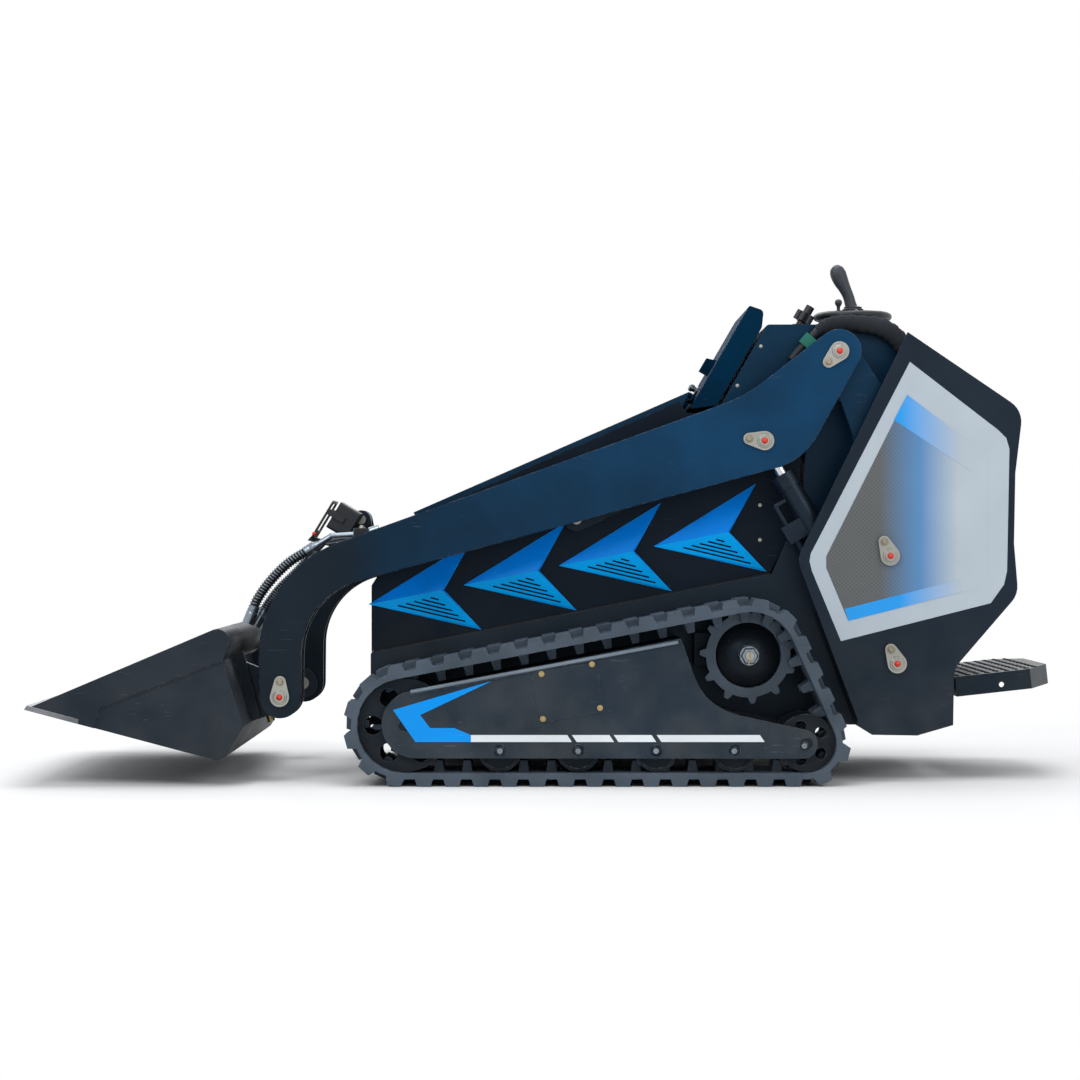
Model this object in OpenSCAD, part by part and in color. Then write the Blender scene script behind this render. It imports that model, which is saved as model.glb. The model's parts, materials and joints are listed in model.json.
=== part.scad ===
// Stand-on mini track loader with a bucket.
// X runs forward, Y to the machine's left, Z up. Millimetres, ground at Z = 0.

/* [Tracks] */
// Width of each rubber track
track_width = 230; // [180:5:300]
// Distance between the middles of the two tracks
track_gauge = 830; // [700:10:900]
// Gap between each track and the hull
hull_gap = 15; // [12:1:20]
// Pitch of the track's steel cores
track_pitch = 72; // [60:1:90]
// Thickness of the rubber band
band = 15; // [10:1:25]
// Height of the tread lugs
tread_height = 19; // [10:1:30]
// Height of the guide lugs inside the band
guide_height = 28; // [15:1:30]
// Teeth of each drive sprocket
sprocket_teeth = 11; // [9:1:15]

/* [Body] */
// Depth of the side panels behind the hull's sides
panel_inset = 35; // [30:1:45]
// Thickness of the side panels
panel_t = 6; // [3:1:8]
// Height of the arrow grilles over the panel
grille_rise = 24; // [10:1:28]

/* [Loader] */
// Gap between the hull and each loader arm
arm_gap = 7; // [6:1:10]
// Width of each loader arm
arm_width = 90; // [80:1:96]
// Thickness of the arm's plates
arm_plate = 10; // [6:1:14]
// Radius of the loader's hinge pins
pin_r = 17; // [12:1:20]
// Radius of the lift cylinder's barrel
lift_r = 29; // [24:1:32]
// Radius of the lift cylinder's rod
rod_r = 14; // [10:1:18]
// Width of the bucket
bucket_width = 1080; // [900:10:1200]

/* [Stand] */
// Half width of the operator's platform
platform_y = 275; // [200:5:300]
// Thickness of the operator's platform
platform_t = 52; // [30:1:70]
// Depth of the console behind the side panels
console_inset = 7; // [7:1:30]

/* [Hidden] */
$fn = 48;
arc_step = 12;
fit = 0.3;
band_step = 15;
wheel_gap = 1.4;
pin_a = [-747, 1114];
pin_b = [-553, 882];
pin_c = [-875, 584];
pin_d = [-893, 306];
pin_f = [-68, 680];
pin_g = [-740, 1000];
pin_p = [702, 218];
pin_t = [745, 335];
pin_u = [515, 680];
hood_pin = [-370, 1007];
step_pin = [-1036, 240];
track_y = track_gauge / 2;
track_in = track_y - track_width / 2;
hull_y = track_in - hull_gap;
hull_t = 12;
panel_y = hull_y - panel_inset;
console_y = panel_y - console_inset;
arm_in = hull_y + arm_gap;
arm_out = arm_in + arm_width;
arm_mid = arm_in + arm_width / 2;
side_y = arm_out + 8;
side_t = 10;
front_wheel = [372, 154, 120];
rear_wheel = [-649, 109, 75];
drive_wheel = [-507, 329, 114];
wheels = [rear_wheel, front_wheel, drive_wheel];
roller_r = 57;
roller_xs = [130, -69, -268, -466];
roller_z = rear_wheel[1] - rear_wheel[2] + roller_r;
frame_out = track_y + 91;
frame_in = track_y - 99;
frame_t = 8;

// Outlines drawn as a band round a row of discs, anticlockwise, seen from the right
// A disc is [x, z, radius]. A negative radius bends the outline inward.
function dir(a) = [cos(a), sin(a)];
function centre(d) = [d[0], d[1]];
function touch_angle(p, q) =
  atan2(q[1] - p[1], q[0] - p[0]) - acos((p[2] - q[2]) / norm(centre(q) - centre(p)));
function whole_turn(d) = d - 360 * floor(d / 360);
function turn(a, b, r) = r < 0 ? -whole_turn(a - b) : whole_turn(b - a);
function disc_arc(c, a, b, step) =
  c[2] == 0 ? [centre(c)] :
  let (t = turn(a, b, c[2]), n = max(1, ceil(abs(t) / step)))
  [for (i = [0:n]) centre(c) + c[2] * dir(a + t * i / n)];
function wrap(d, step = arc_step) =
  let (n = len(d))
  [for (i = [0:n - 1]) each disc_arc(d[i],
    touch_angle(d[(i + n - 1) % n], d[i]), touch_angle(d[i], d[(i + 1) % n]), step)];
function grown(d, by) = [for (c = d) [c[0], c[1], c[2] + by]];
function disc(p, r) = [p[0], p[1], r];
function round_box(x0, x1, half, r) = wrap([
  [x0 + r, r - half, r], [x1 - r, r - half, r], [x1 - r, half - r, r], [x0 + r, half - r, r]
]);

// Stations along the track, counted from the rear idler
function leg_angle(i) = touch_angle(wheels[i % 3], wheels[(i + 1) % 3]);
function leg_length(i) =
  let (p = wheels[i % 3], q = wheels[(i + 1) % 3])
  sqrt(pow(norm(centre(q) - centre(p)), 2) - pow(q[2] - p[2], 2));
function arc_length(i) =
  (wheels[i % 3][2] + band / 2) * turn(leg_angle(i + 2), leg_angle(i), 1) * PI / 180;
loop_length = leg_length(0) + leg_length(1) + leg_length(2)
  + arc_length(0) + arc_length(1) + arc_length(2);
links = round(loop_length / track_pitch);
// Each station is [x, z, angle of the outward normal] on the band's inner face
function station(s, i = 0) =
  let (w = wheels[i % 3], arc = arc_length(i), leg = leg_length(i), a0 = leg_angle(i + 2))
  s < arc ?
    let (a = a0 + s / (w[2] + band / 2) * 180 / PI) concat(centre(w) + w[2] * dir(a), [a]) :
  s < arc + leg ?
    let (a = leg_angle(i)) concat(centre(w) + w[2] * dir(a) + (s - arc) * dir(a + 90), [a]) :
  station(s - arc - leg, i + 1);
// A core lies over the middle of the sprocket's wrap
drive_middle = arc_length(0) + leg_length(0) + arc_length(1) + leg_length(1) + arc_length(2) / 2;
drive_angle = leg_angle(1) + turn(leg_angle(1), leg_angle(2), 1) / 2;
function core_station(k) =
  let (s = drive_middle + k * loop_length / links)
  station(s - loop_length * floor(s / loop_length));

// Placing helpers
module both() {
  children();
  mirror([0, 1, 0]) children();
}
module slab(y, t) {
  translate([0, y + t, 0]) rotate([90, 0, 0]) linear_extrude(t) children();
}
module pin(p, r, y0, y1) {
  translate([p[0], y1, p[1]]) rotate([90, 0, 0]) cylinder(r = r, h = y1 - y0);
}
module box(x0, x1, y0, y1, z0, z1) {
  translate([x0, y0, z0]) cube([x1 - x0, y1 - y0, z1 - z0]);
}
// A piece along the line from p to q in a plane of constant y, its own Z on the line
module along(p, q, y) {
  translate([p[0], y, p[1]]) rotate([0, atan2(q[0] - p[0], q[1] - p[1]), 0]) children();
}
module at_core(k, y, t) {
  st = core_station(k);
  slab(y, t) translate([st[0], st[1]]) rotate(st[2] - 90) children();
}
// A round tube through a row of points
module bent_tube(points, r) {
  for (i = [0:len(points) - 2]) {
    d = points[i + 1] - points[i];
    translate(points[i]) rotate([0, acos(d[2] / norm(d)), atan2(d[1], d[0])]) cylinder(r = r, h = norm(d));
  }
  for (i = [1:len(points) - 2]) translate(points[i]) sphere(r = r + 0.5);
}

// Hull and towers
hull_side = [[473, 140], [473, 327], [-581, 536], [-650, 690], [-990, 690], [-990, 140]];
module chassis_frame() color("#22252b") {
  box(-990, 455, hull_t - hull_y, hull_y - hull_t, 140, 152);
  box(445, 455, hull_t - hull_y, hull_y - hull_t, 152, 318);
  difference() {
    box(-1000, -990, -side_y, side_y, 140, 960);
    both() box(-1001, -989, arm_in + 8, arm_out - 12, 500, 900);
  }
  both() {
    slab(hull_y - hull_t, hull_t) polygon(hull_side);
    slab(panel_y - hull_t, hull_y - panel_y)
      polygon([[473, 315], [473, 323], [-581, 532], [-581, 524]]);
    box(-98, -38, panel_y - 36, panel_y - 7, 420, 700);
    pin(pin_f, 27, panel_y - 10, panel_y + 13);
    slab(214, 12) difference() {
      polygon(wrap([disc(step_pin, 24), [-1000, 200, 0], [-1000, 262, 0]]));
      translate(step_pin) circle(r = 9);
    }
    pin(step_pin, 9, 190, 226);
  }
}

side_plate_line = [
  [-946, 120, 0], [-829, 122, 0], [-800, 140, 0], [-701, 572, 60], [-922, 1162, 0],
  [-1153, 930, 62], [-2093, 690, -900], [-1145, 505, 60], [-1101, 270, -60], [-1039, 147, 0]
];
plate_front = touch_angle(side_plate_line[2], side_plate_line[3]);
plate_web = 320;
function along_plate(s, d) = centre(side_plate_line[2]) + s * dir(plate_front + 90) - d * dir(plate_front);
module side_plate() color("#1d2027") {
  slab(side_y, side_t) difference() {
    polygon(wrap(side_plate_line));
    translate(pin_c) circle(r = pin_r + fit);
    translate(pin_d) circle(r = pin_r + fit);
  }
  slab(hull_y + fit, side_y - hull_y - 2 * fit) polygon([
    along_plate(0, 0), along_plate(plate_web, 0), along_plate(plate_web, side_t), along_plate(0, side_t)
  ]);
}
module side_plate_left() side_plate();
module side_plate_right() mirror([0, 1, 0]) side_plate();

// Body panels and their arrow grilles
panel_line = [
  [473, 331], [473, 505], [361, 684], [-340, 991], [-360, 960], [-660, 960], [-660, 690], [-581, 540]
];
grille_first = [286, 493];
grille_step = [-251, 51];
grille_count = 4;
grille_tips = [[195, -38], [-73, 123], [0, 0], [-99, -100]];
grille_flange = 5;
grille_edge = 3;
louvre_count = 5;
louvre_width = 4;
// Both ends of a louvre, counted from the arrow's front tip
function louvre_ends(j) = [[-78 - 21.7 * j, 5.3 * j - 3], [17.5 * j - 256, 14.3 * j - 45]];
module side_panel() color("#12161f") {
  slab(panel_y - panel_t, panel_t) difference() {
    polygon(panel_line);
    translate(pin_f) circle(r = 28);
  }
}
module side_panel_left() side_panel();
module side_panel_right() mirror([0, 1, 0]) side_panel();
module louvre(j) {
  ends = [for (e = louvre_ends(j)) grille_tips[0] + e];
  way = (ends[1] - ends[0]) / norm(ends[1] - ends[0]);
  across = louvre_width / 2 * [-way[1], way[0]];
  polygon([ends[0] - across, ends[0] + across, ends[1] + across, ends[1] - across]);
}
module grille() difference() {
  union() {
    linear_extrude(grille_edge / 2) polygon([
      grille_tips[0], grille_tips[1] + grille_flange * [-0.5, 1],
      grille_tips[2] - [grille_flange, 0], grille_tips[3] - [grille_flange, grille_flange]
    ]);
    top = [for (i = [0:3]) concat(grille_tips[i], [i == 2 ? grille_rise : grille_edge])];
    polyhedron(
      points = [for (p = grille_tips) concat(p, [0]), each top],
      faces = [
        [0, 1, 2, 3], [4, 6, 5], [4, 7, 6],
        [0, 4, 5, 1], [1, 5, 6, 2], [2, 6, 7, 3], [3, 7, 4, 0]
      ]
    );
  }
  for (j = [0:louvre_count - 1]) translate([0, 0, -1]) linear_extrude(grille_rise + 2) louvre(j);
}
module grilles() color("#0a84e0") {
  for (i = [0:grille_count - 1]) {
    at = grille_first + i * grille_step;
    translate([at[0], panel_y, at[1]]) mirror([0, 1, 0]) rotate([90, 0, 0]) grille();
  }
}
module grilles_left() grilles();
module grilles_right() mirror([0, 1, 0]) grilles();

module front_panel() color("#12161f") {
  slab(panel_t - panel_y, 2 * (panel_y - panel_t))
    polygon([[457, 328], [467, 328], [467, 503], [357, 678], [350, 673], [457, 500]]);
}

module engine_block() color("#3b3f45") box(-330, 320, 60 - panel_y, panel_y - 60, 152, 620);

// Guard, console and controls
guard_top = [-526, 1245];
guard_foot = [-368, 972];
guard_way = (guard_foot - guard_top) / norm(guard_foot - guard_top);
guard_face = [-guard_way[1], guard_way[0]];
latch_ends = [158, 204];
latch_rise = 26;
function on_guard(s, d) = guard_top + s * guard_way + d * guard_face;
module guard() color("#171a20") {
  slab(-console_y, 2 * console_y) difference() {
    polygon([guard_top, [-563, 1231], [-559, 1187], [-440, 981], guard_foot]);
    polygon([[-534, 1225], [-551, 1219], [-549, 1187], [-436, 991], [-400, 986]]);
  }
  both() {
    slab(console_y - 6, 6) polygon([[-530, 1240], [-560, 1228], [-555, 1187], [-440, 984], [-375, 975]]);
    slab(120, 40) polygon(wrap([disc(hood_pin, 11), [-394, 1012, 0], [-380, 988, 0]]));
    pin(hood_pin, 5, 150, 196);
  }
  slab(75, 50) polygon([
    on_guard(latch_ends[0], -1), on_guard(latch_ends[1], -1),
    on_guard(latch_ends[1], latch_rise), on_guard(latch_ends[0] + 8, latch_rise)
  ]);
}

console_line = [
  [-672, 700, 8], [-672, 960, -8], [-458, 975, 10], [-580, 1181, 14], [-892, 1177, 18],
  [-958, 1120, 22], [-978, 700, 12]
];
console_hollow = [
  [-672, 600, 3], [-672, 960, -13], [-458, 975, 5], [-580, 1181, 9], [-892, 1177, 13],
  [-958, 1120, 17], [-978, 600, 7]
];
module console() color("#171a20") difference() {
  slab(-console_y, 2 * console_y) polygon(wrap(console_line));
  slab(5 - console_y, 2 * console_y - 10) polygon(wrap(console_hollow));
}

module hip_pad() color("#2a2c30") slab(60 - panel_y, 2 * (panel_y - 60))
  polygon(wrap([[-1000, 640, 0], [-1000, 930, 0], [-1025, 915, 15], [-1025, 655, 15]]));

stick_x = -828;
console_top = 1195;
disc_r = 107;
disc_edge = 10;
disc_z = 1235;
stick_z = disc_z + disc_edge + 1;
// Rows of x, z and radius up the grip
grip = [
  [-829, 1252, 17], [-823, 1270, 15.5], [-817, 1292, 15.5],
  [-807, 1314, 17], [-796, 1336, 20.5], [-788, 1357, 21]
];
module control_disc() color("#15171b") translate([stick_x, 0, 0]) {
  translate([0, 0, disc_z]) rotate_extrude() translate([disc_r - disc_edge, 0]) circle(r = disc_edge);
  translate([0, 0, disc_z - 7]) cylinder(r = disc_r - disc_edge, h = stick_z - disc_z + 7);
  translate([0, 0, console_top]) cylinder(r = 60, h = disc_z - console_top);
}
module joystick() color("#101114") {
  translate([stick_x, 0, stick_z]) cylinder(r = 32, h = 7);
  for (i = [0:len(grip) - 2]) {
    p = grip[i];
    q = grip[i + 1];
    along(p, q, 0) cylinder(r1 = p[2], r2 = q[2], h = norm(centre(q) - centre(p)));
    translate([q[0], 0, q[1]]) sphere(r = q[2] + 0.4);
  }
  translate([-785, 40, stick_z]) cylinder(r = 5, h = 24);
  translate([-785, 40, stick_z + 24]) sphere(r = 10);
}
knob_lobes = 5;
module filler_cap() color("#15171b") translate([-676, 60, console_top]) {
  cylinder(r = 20, h = 16);
  translate([0, 0, 10]) rotate([0, -30, 0]) {
    cylinder(r = 12, h = 62);
    translate([0, 0, 14]) linear_extrude(26) {
      circle(r = 17);
      for (i = [0:knob_lobes - 1]) rotate(i * 360 / knob_lobes) translate([18, 0]) circle(r = 9);
    }
  }
}
// Hose up the console's side, in a clamp and then in a sleeve
sleeve_r = 20;
side_hose_r = 12;
hose_y = console_y + sleeve_r + 0.5 + fit;
side_hose = [[-635, 1100], [-701, 1176]];
sleeve_line = [side_hose[1], [-756, 1194], [-872, 1186], [-925, 1147]];
clamp_at = 48;
clamp_size = [34, hose_y - console_y + 16, 32];
// A tube through points of the side view, at one y
module line_tube(points, y, r) bent_tube([for (p = points) [p[0], y, p[1]]], r);
module hose_sleeve() color("#24262b") {
  along(side_hose[0], side_hose[1], hose_y) cylinder(r = side_hose_r, h = norm(side_hose[1] - side_hose[0]));
  line_tube(sleeve_line, hose_y, sleeve_r);
}
module hose_clamp() color("#2f9e4f") along(side_hose[0], side_hose[1], hose_y) difference() {
  translate([-clamp_size[0] / 2, console_y - hose_y, clamp_at]) cube(clamp_size);
  cylinder(r = side_hose_r + fit, h = 100);
}

// Pins of the frame, with their flag plates
flag_bolt = 40;
module flag(p, a, y) {
  q = p + flag_bolt * dir(a);
  slab(y, 8) polygon(wrap([disc(p, 25), disc(q, 15)]));
}
module frame_pins() color("#b9b7ab") both() {
  for (p = [pin_c, pin_d]) pin(p, pin_r, hull_y, side_y + side_t + 4);
  flag(pin_c, 67, side_y + side_t + 4);
  flag(pin_d, 66, side_y + side_t + 4);
  pin(pin_f, 14, panel_y + 13, panel_y + 36);
}

// Tracks and their wheels
guide_gap = 22;
guide_out = 52;
paired_links = 4;
tread_row = 120;
function from_drive(k) = min(k, links - k);
// Tread lugs in two staggered rows
module tread(k) {
  lug = [[-24, band - 4], [24, band - 4], [17, band + tread_height], [-17, band + tread_height]];
  at_core(k, track_in, tread_row) polygon(lug);
  at_core(k + 0.5, track_in + track_width - tread_row, tread_row) polygon(lug);
}
// Guide lugs, split where they pass the sprocket
module guides(k) {
  lug = [[-14, 4], [-9, -guide_height], [9, -guide_height], [14, 4]];
  if (from_drive(k) > paired_links) at_core(k, track_y - guide_out, 2 * guide_out) polygon(lug);
  else for (y = [guide_gap, -guide_out]) at_core(k, track_y + y, guide_out - guide_gap) polygon(lug);
}
module track() color("#474b52") difference() {
  union() {
    slab(track_in, track_width) difference() {
      polygon(wrap(grown(wheels, band), band_step));
      polygon(wrap(wheels, band_step));
    }
    for (k = [0:links - 1]) {
      tread(k);
      guides(k);
    }
  }
  for (k = [-3:2]) at_core(k + 0.5, track_y - 21, 42) translate([-18, -2]) square([36, band - 1]);
}
module track_left() track();
module track_right() mirror([0, 1, 0]) track();

frame_line = [
  [-640, 107, 37], [344, 157, 86], [-330, 375, 0], disc(drive_wheel, -152)
];
frame_top = touch_angle(frame_line[1], frame_line[2]);
frame_cover = [[51, 293], [30, 161], [-132, 187], [-117, 313]];
// The strip of the frame's outline that looks up, t deep
module frame_edge(t) difference() {
  polygon(wrap(frame_line));
  translate(-t * dir(frame_top)) polygon(wrap(frame_line));
}
module track_frame() color("#2b2e34") {
  for (y = [frame_out, frame_in]) slab(y, frame_t) difference() {
    polygon(wrap(frame_line));
    for (w = [front_wheel, rear_wheel]) translate(centre(w)) circle(r = 15 + fit);
    for (x = roller_xs) translate([x, roller_z]) circle(r = 15 + fit);
  }
  slab(frame_in + frame_t, frame_out - frame_in - frame_t) intersection() {
    frame_edge(frame_t);
    translate([-480, 160]) square([750, 230]);
  }
  slab(frame_out + frame_t, frame_t / 2) intersection() {
    frame_edge(12);
    translate([-330, 230]) square([690, 160]);
  }
  slab(frame_out + frame_t, 2) polygon(frame_cover);
  box(-280, 230, frame_in + frame_t, frame_out, 160, 220);
  for (x = [-250, 150]) box(x, x + 80, hull_y, frame_in, 165, 215);
}
module track_frame_left() track_frame();
module track_frame_right() mirror([0, 1, 0]) track_frame();

// A wheel that runs on both sides of the guide lugs, its children cut through both rims
rim_in = 60;
rim_out = 85;
axle_r = 15;
roller_hub = 25;
module rim_wheel(p, r, hub) {
  for (y = [rim_in, -rim_out]) slab(track_y + y, rim_out - rim_in) translate(p) difference() {
    circle(r = r - wheel_gap);
    children();
  }
  pin(p, hub, track_y - rim_in, track_y + rim_in);
  pin(p, axle_r, frame_in, frame_out + frame_t);
}
module windows(n, at, r) for (i = [0:n - 1]) rotate(i * 360 / n) translate([at, 0]) circle(r = r);
module track_rollers() color("#33363c") both() for (x = roller_xs) difference() {
  rim_wheel([x, roller_z], roller_r, roller_hub);
  for (y = [-rim_out - 1, rim_out - 9]) slab(track_y + y, 10) translate([x, roller_z]) difference() {
    circle(r = roller_r - 10);
    circle(r = roller_hub);
  }
}
module front_idlers() color("#33363c") both()
  rim_wheel(centre(front_wheel), front_wheel[2], 50) windows(6, 80, 24);
module rear_idlers() color("#33363c") both()
  rim_wheel(centre(rear_wheel), rear_wheel[2], 28) windows(5, 45, 14);

sprocket_tip = drive_wheel[2] + band - 4;
sprocket_root = drive_wheel[2] - 5;
sprocket_half = 18;
sprocket_web = 10;
hub_r = 82;
dome_r = 101;
dome_rise = 44;
module tooth() polygon([
  [sprocket_root - 6, -13], [sprocket_root + 8, -9], [sprocket_tip, -5],
  [sprocket_tip, 5], [sprocket_root + 8, 9], [sprocket_root - 6, 13]
]);
module sprockets() color("#3a3d43") both() {
  slab(track_y - sprocket_half, 2 * sprocket_half) translate(centre(drive_wheel)) difference() {
    union() {
      circle(r = sprocket_root);
      for (k = [0:sprocket_teeth - 1]) rotate(drive_angle + (k + 0.5) * 360 / sprocket_teeth) tooth();
    }
    circle(r = hub_r + 2);
  }
  pin(centre(drive_wheel), hub_r + 4, track_y - sprocket_half, track_y - sprocket_half + sprocket_web);
}
// Domed hub outside the sprocket, with its nut, and the drive motor behind
module drive_hubs() color("#24272c") both() {
  c = centre(drive_wheel);
  dome_y = track_y + dome_rise;
  intersection() {
    pin(c, hub_r, track_y - sprocket_half + sprocket_web, dome_y);
    translate([c[0], dome_y - dome_r, c[1]]) sphere(r = dome_r);
  }
  pin(c, 28, dome_y - 14, dome_y + 6);
  slab(dome_y + 6, 16) translate(c) circle(r = 22, $fn = 6);
  pin(c, 12, dome_y + 22, dome_y + 30);
  pin(c, 76, hull_y, track_y - sprocket_half);
  box(c[0] + 60, c[0] + 135, hull_y + 20, track_y - 40, c[1] - 28, c[1] + 56);
}

// Rear links between the hull and the arms
link_line = [disc(pin_c, 40), [-208, 735, -600], disc(pin_a, 46), [-852, 950, 50]];
module rear_links() color("#1b1e25") both() difference() {
  union() {
    slab(arm_mid - 20, 40) polygon(wrap(link_line));
    pin(pin_a, 34, arm_in + arm_plate + 1, arm_out - arm_plate - 1);
    pin(pin_c, 32, hull_y + 1, side_y - 1);
  }
  for (p = [pin_a, pin_c]) pin(p, pin_r + fit, hull_y, side_y);
}

// Loader arms
arm_line = [
  disc(pin_p, 55), [445, 325, 312], [-308, 1353, -400], disc(pin_a, 58), [-541, 976, 170], [448, 327, -198]
];
arm_lip = 5;
arm_skin = 8;
module arm_bores() for (p = [pin_a, pin_b, pin_p]) translate(p) circle(r = pin_r);
module arm() color("#141925") {
  for (y = [arm_in, arm_out - arm_plate]) slab(y, arm_plate) difference() {
    polygon(wrap(arm_line));
    arm_bores();
  }
  slab(arm_in + arm_plate, arm_width - 2 * arm_plate) intersection() {
    difference() {
      polygon(wrap(grown(arm_line, -arm_lip)));
      polygon(wrap(grown(arm_line, -arm_lip - arm_skin)));
    }
    polygon([[-380, 500], [800, 100], [800, 900], [-380, 1100]]);
  }
}
module arm_left() arm();
module arm_right() mirror([0, 1, 0]) arm();

tilt_ear_y = 31;
module cross_tube() color("#141925") {
  box(470, 528, -arm_in, arm_in, 530, 590);
  both() slab(tilt_ear_y, 14) difference() {
    polygon(wrap([disc(pin_u, 26), [470, 590, 0], [528, 590, 0]]));
    translate(pin_u) circle(r = 13);
  }
}

module arm_pins() color("#b9b7ab") both() {
  flag_y = arm_out;
  pin(pin_a, pin_r, arm_in, flag_y);
  flag(pin_a, 315, flag_y);
  pin(pin_b, pin_r, arm_in, arm_in + arm_plate + 12);
  pin(pin_b, pin_r, arm_out - arm_plate - 12, flag_y);
  flag(pin_b, 7, flag_y);
  pin(pin_p, pin_r, arm_in - 30, flag_y);
  flag(pin_p, 92, flag_y);
  pin(pin_g, 15, arm_in - 6, arm_in);
  pin(pin_u, 13, 0, tilt_ear_y + 18);
}

// Work lamp, tilted up, in a frame on the cross tube
lamp = [556, 679];
lamp_y = 115;
lamp_tilt = 59;
lamp_half = 58;
module work_lamp() color("#1a1c20") {
  translate([lamp[0], lamp_y, lamp[1]]) rotate([0, lamp_tilt, 0]) {
    difference() {
      translate([0, 0, -34]) linear_extrude(62) polygon(round_box(-39, 39, lamp_half, 8));
      translate([0, 0, 22]) linear_extrude(7) polygon(round_box(-32, 32, lamp_half - 7, 5));
      for (y = [-44:22:44]) translate([-40, y - 4, -35]) cube([80, 8, 18]);
    }
    translate([0, 0, 42]) linear_extrude(6) difference() {
      polygon(round_box(-32, 88, lamp_half + 8, 12));
      polygon(round_box(-24, 60, lamp_half, 8));
    }
    for (y = [-lamp_half - 8, lamp_half - 1]) translate([-8, y, -6]) cube([16, 9, 54]);
  }
  slab(lamp_y - 30, 60) polygon([[490, 590], [526, 590], [652, 624], [643, 634], [500, 600]]);
}
line_ys = [arm_in - 77, arm_in - 47];
line_r = 8;
hose_r = 13;
line_block = [500, 640];
hose_routes = [
  [[640, 577], [677, 537], [717, 498], [748, 458], [770, 422]],
  [[630, 604], [690, 567], [739, 519], [774, 470], [790, 431]]
];
module arm_lines() color("#9fa4aa") {
  box(480, 520, line_ys[0] - 15, line_ys[1] + 15, 590, 655);
  for (i = [0, 1]) {
    route = hose_routes[i];
    way = (route[1] - route[0]) / norm(route[1] - route[0]);
    line_tube([line_block, route[0] - 60 * way, route[0]], line_ys[i], line_r);
    along(line_block, line_block + [-30, 10], line_ys[i]) cylinder(r = line_r + 3, h = 48);
    last = len(route) - 1;
    along(route[last], 2 * route[last] - route[last - 1], line_ys[i]) cylinder(r = hose_r + 2, h = 28);
  }
}
module guarded_hoses() color("#2b2d31") {
  for (i = [0, 1]) line_tube(hose_routes[i], line_ys[i], hose_r);
}

// Control links inside the arms
module control_links() color("#1b1e25") both() difference() {
  union() {
    slab(panel_y + 15, 16) polygon(wrap([disc(pin_f, 32), disc(pin_g, 30)]));
  }
  pin(pin_f, 14 + fit, panel_y + 10, panel_y + 40);
  pin(pin_g, 16, panel_y + 10, panel_y + 40);
}

// Lift cylinders
lift_length = norm(pin_b - pin_d);
lift_barrel = 570;
port_at = 400;
port_x = 58;
port_top = 506;
port_r = 7;
module lift_barrels() color("#1a1c20") both() difference() {
  union() {
    along(pin_d, pin_b, arm_mid) {
      translate([0, 0, 30]) cylinder(r = lift_r, h = lift_barrel - 30);
      translate([0, 0, 36]) cylinder(r = lift_r + 2, h = 24);
      translate([0, 0, lift_barrel - 40]) cylinder(r = lift_r + 3, h = 40);
      translate([20, -20, port_at]) cube([56, 40, 50]);
      translate([54, 0, port_at - 34]) cylinder(r = 13, h = 40);
      translate([port_x, 0, port_at]) cylinder(r = port_r, h = port_top - port_at);
      translate([port_x, 0, port_top]) sphere(r = port_r);
      translate([20, 0, port_top]) rotate([0, 90, 0]) cylinder(r = port_r, h = port_x - 20);
    }
    pin(pin_d, 34, arm_mid - 22, arm_mid + 22);
  }
  pin(pin_d, pin_r + fit, arm_mid - 30, arm_mid + 30);
  along(pin_d, pin_b, arm_mid) translate([0, 0, 60]) cylinder(r = rod_r + fit, h = lift_barrel);
}
module lift_rods() color("#c8ccd0") both() difference() {
  union() {
    along(pin_d, pin_b, arm_mid) translate([0, 0, 70]) cylinder(r = rod_r, h = lift_length - 70);
    pin(pin_b, 28, arm_mid - 20, arm_mid + 20);
  }
  pin(pin_b, pin_r + fit, arm_mid - 30, arm_mid + 30);
}

// Tilt cylinder
tilt_length = norm(pin_t - pin_u);
tilt_barrel_length = 330;
tilt_r = 28;
module tilt_barrel() color("#1a1c20") difference() {
  union() {
    along(pin_u, pin_t, 0) {
      translate([0, 0, 24]) cylinder(r = tilt_r - 2, h = tilt_barrel_length - 24);
      translate([0, 0, tilt_barrel_length - 34]) cylinder(r = tilt_r, h = 34);
    }
    pin(pin_u, 25, -22, 22);
  }
  pin(pin_u, 13 + fit, -30, 30);
  along(pin_u, pin_t, 0) translate([0, 0, 50]) cylinder(r = 15 + fit, h = tilt_barrel_length);
}
module tilt_rod() color("#c8ccd0") difference() {
  union() {
    along(pin_u, pin_t, 0) translate([0, 0, 60]) cylinder(r = 15, h = tilt_length - 60);
    pin(pin_t, 25, -20, 20);
  }
  pin(pin_t, 13 + fit, -30, 30);
}

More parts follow.
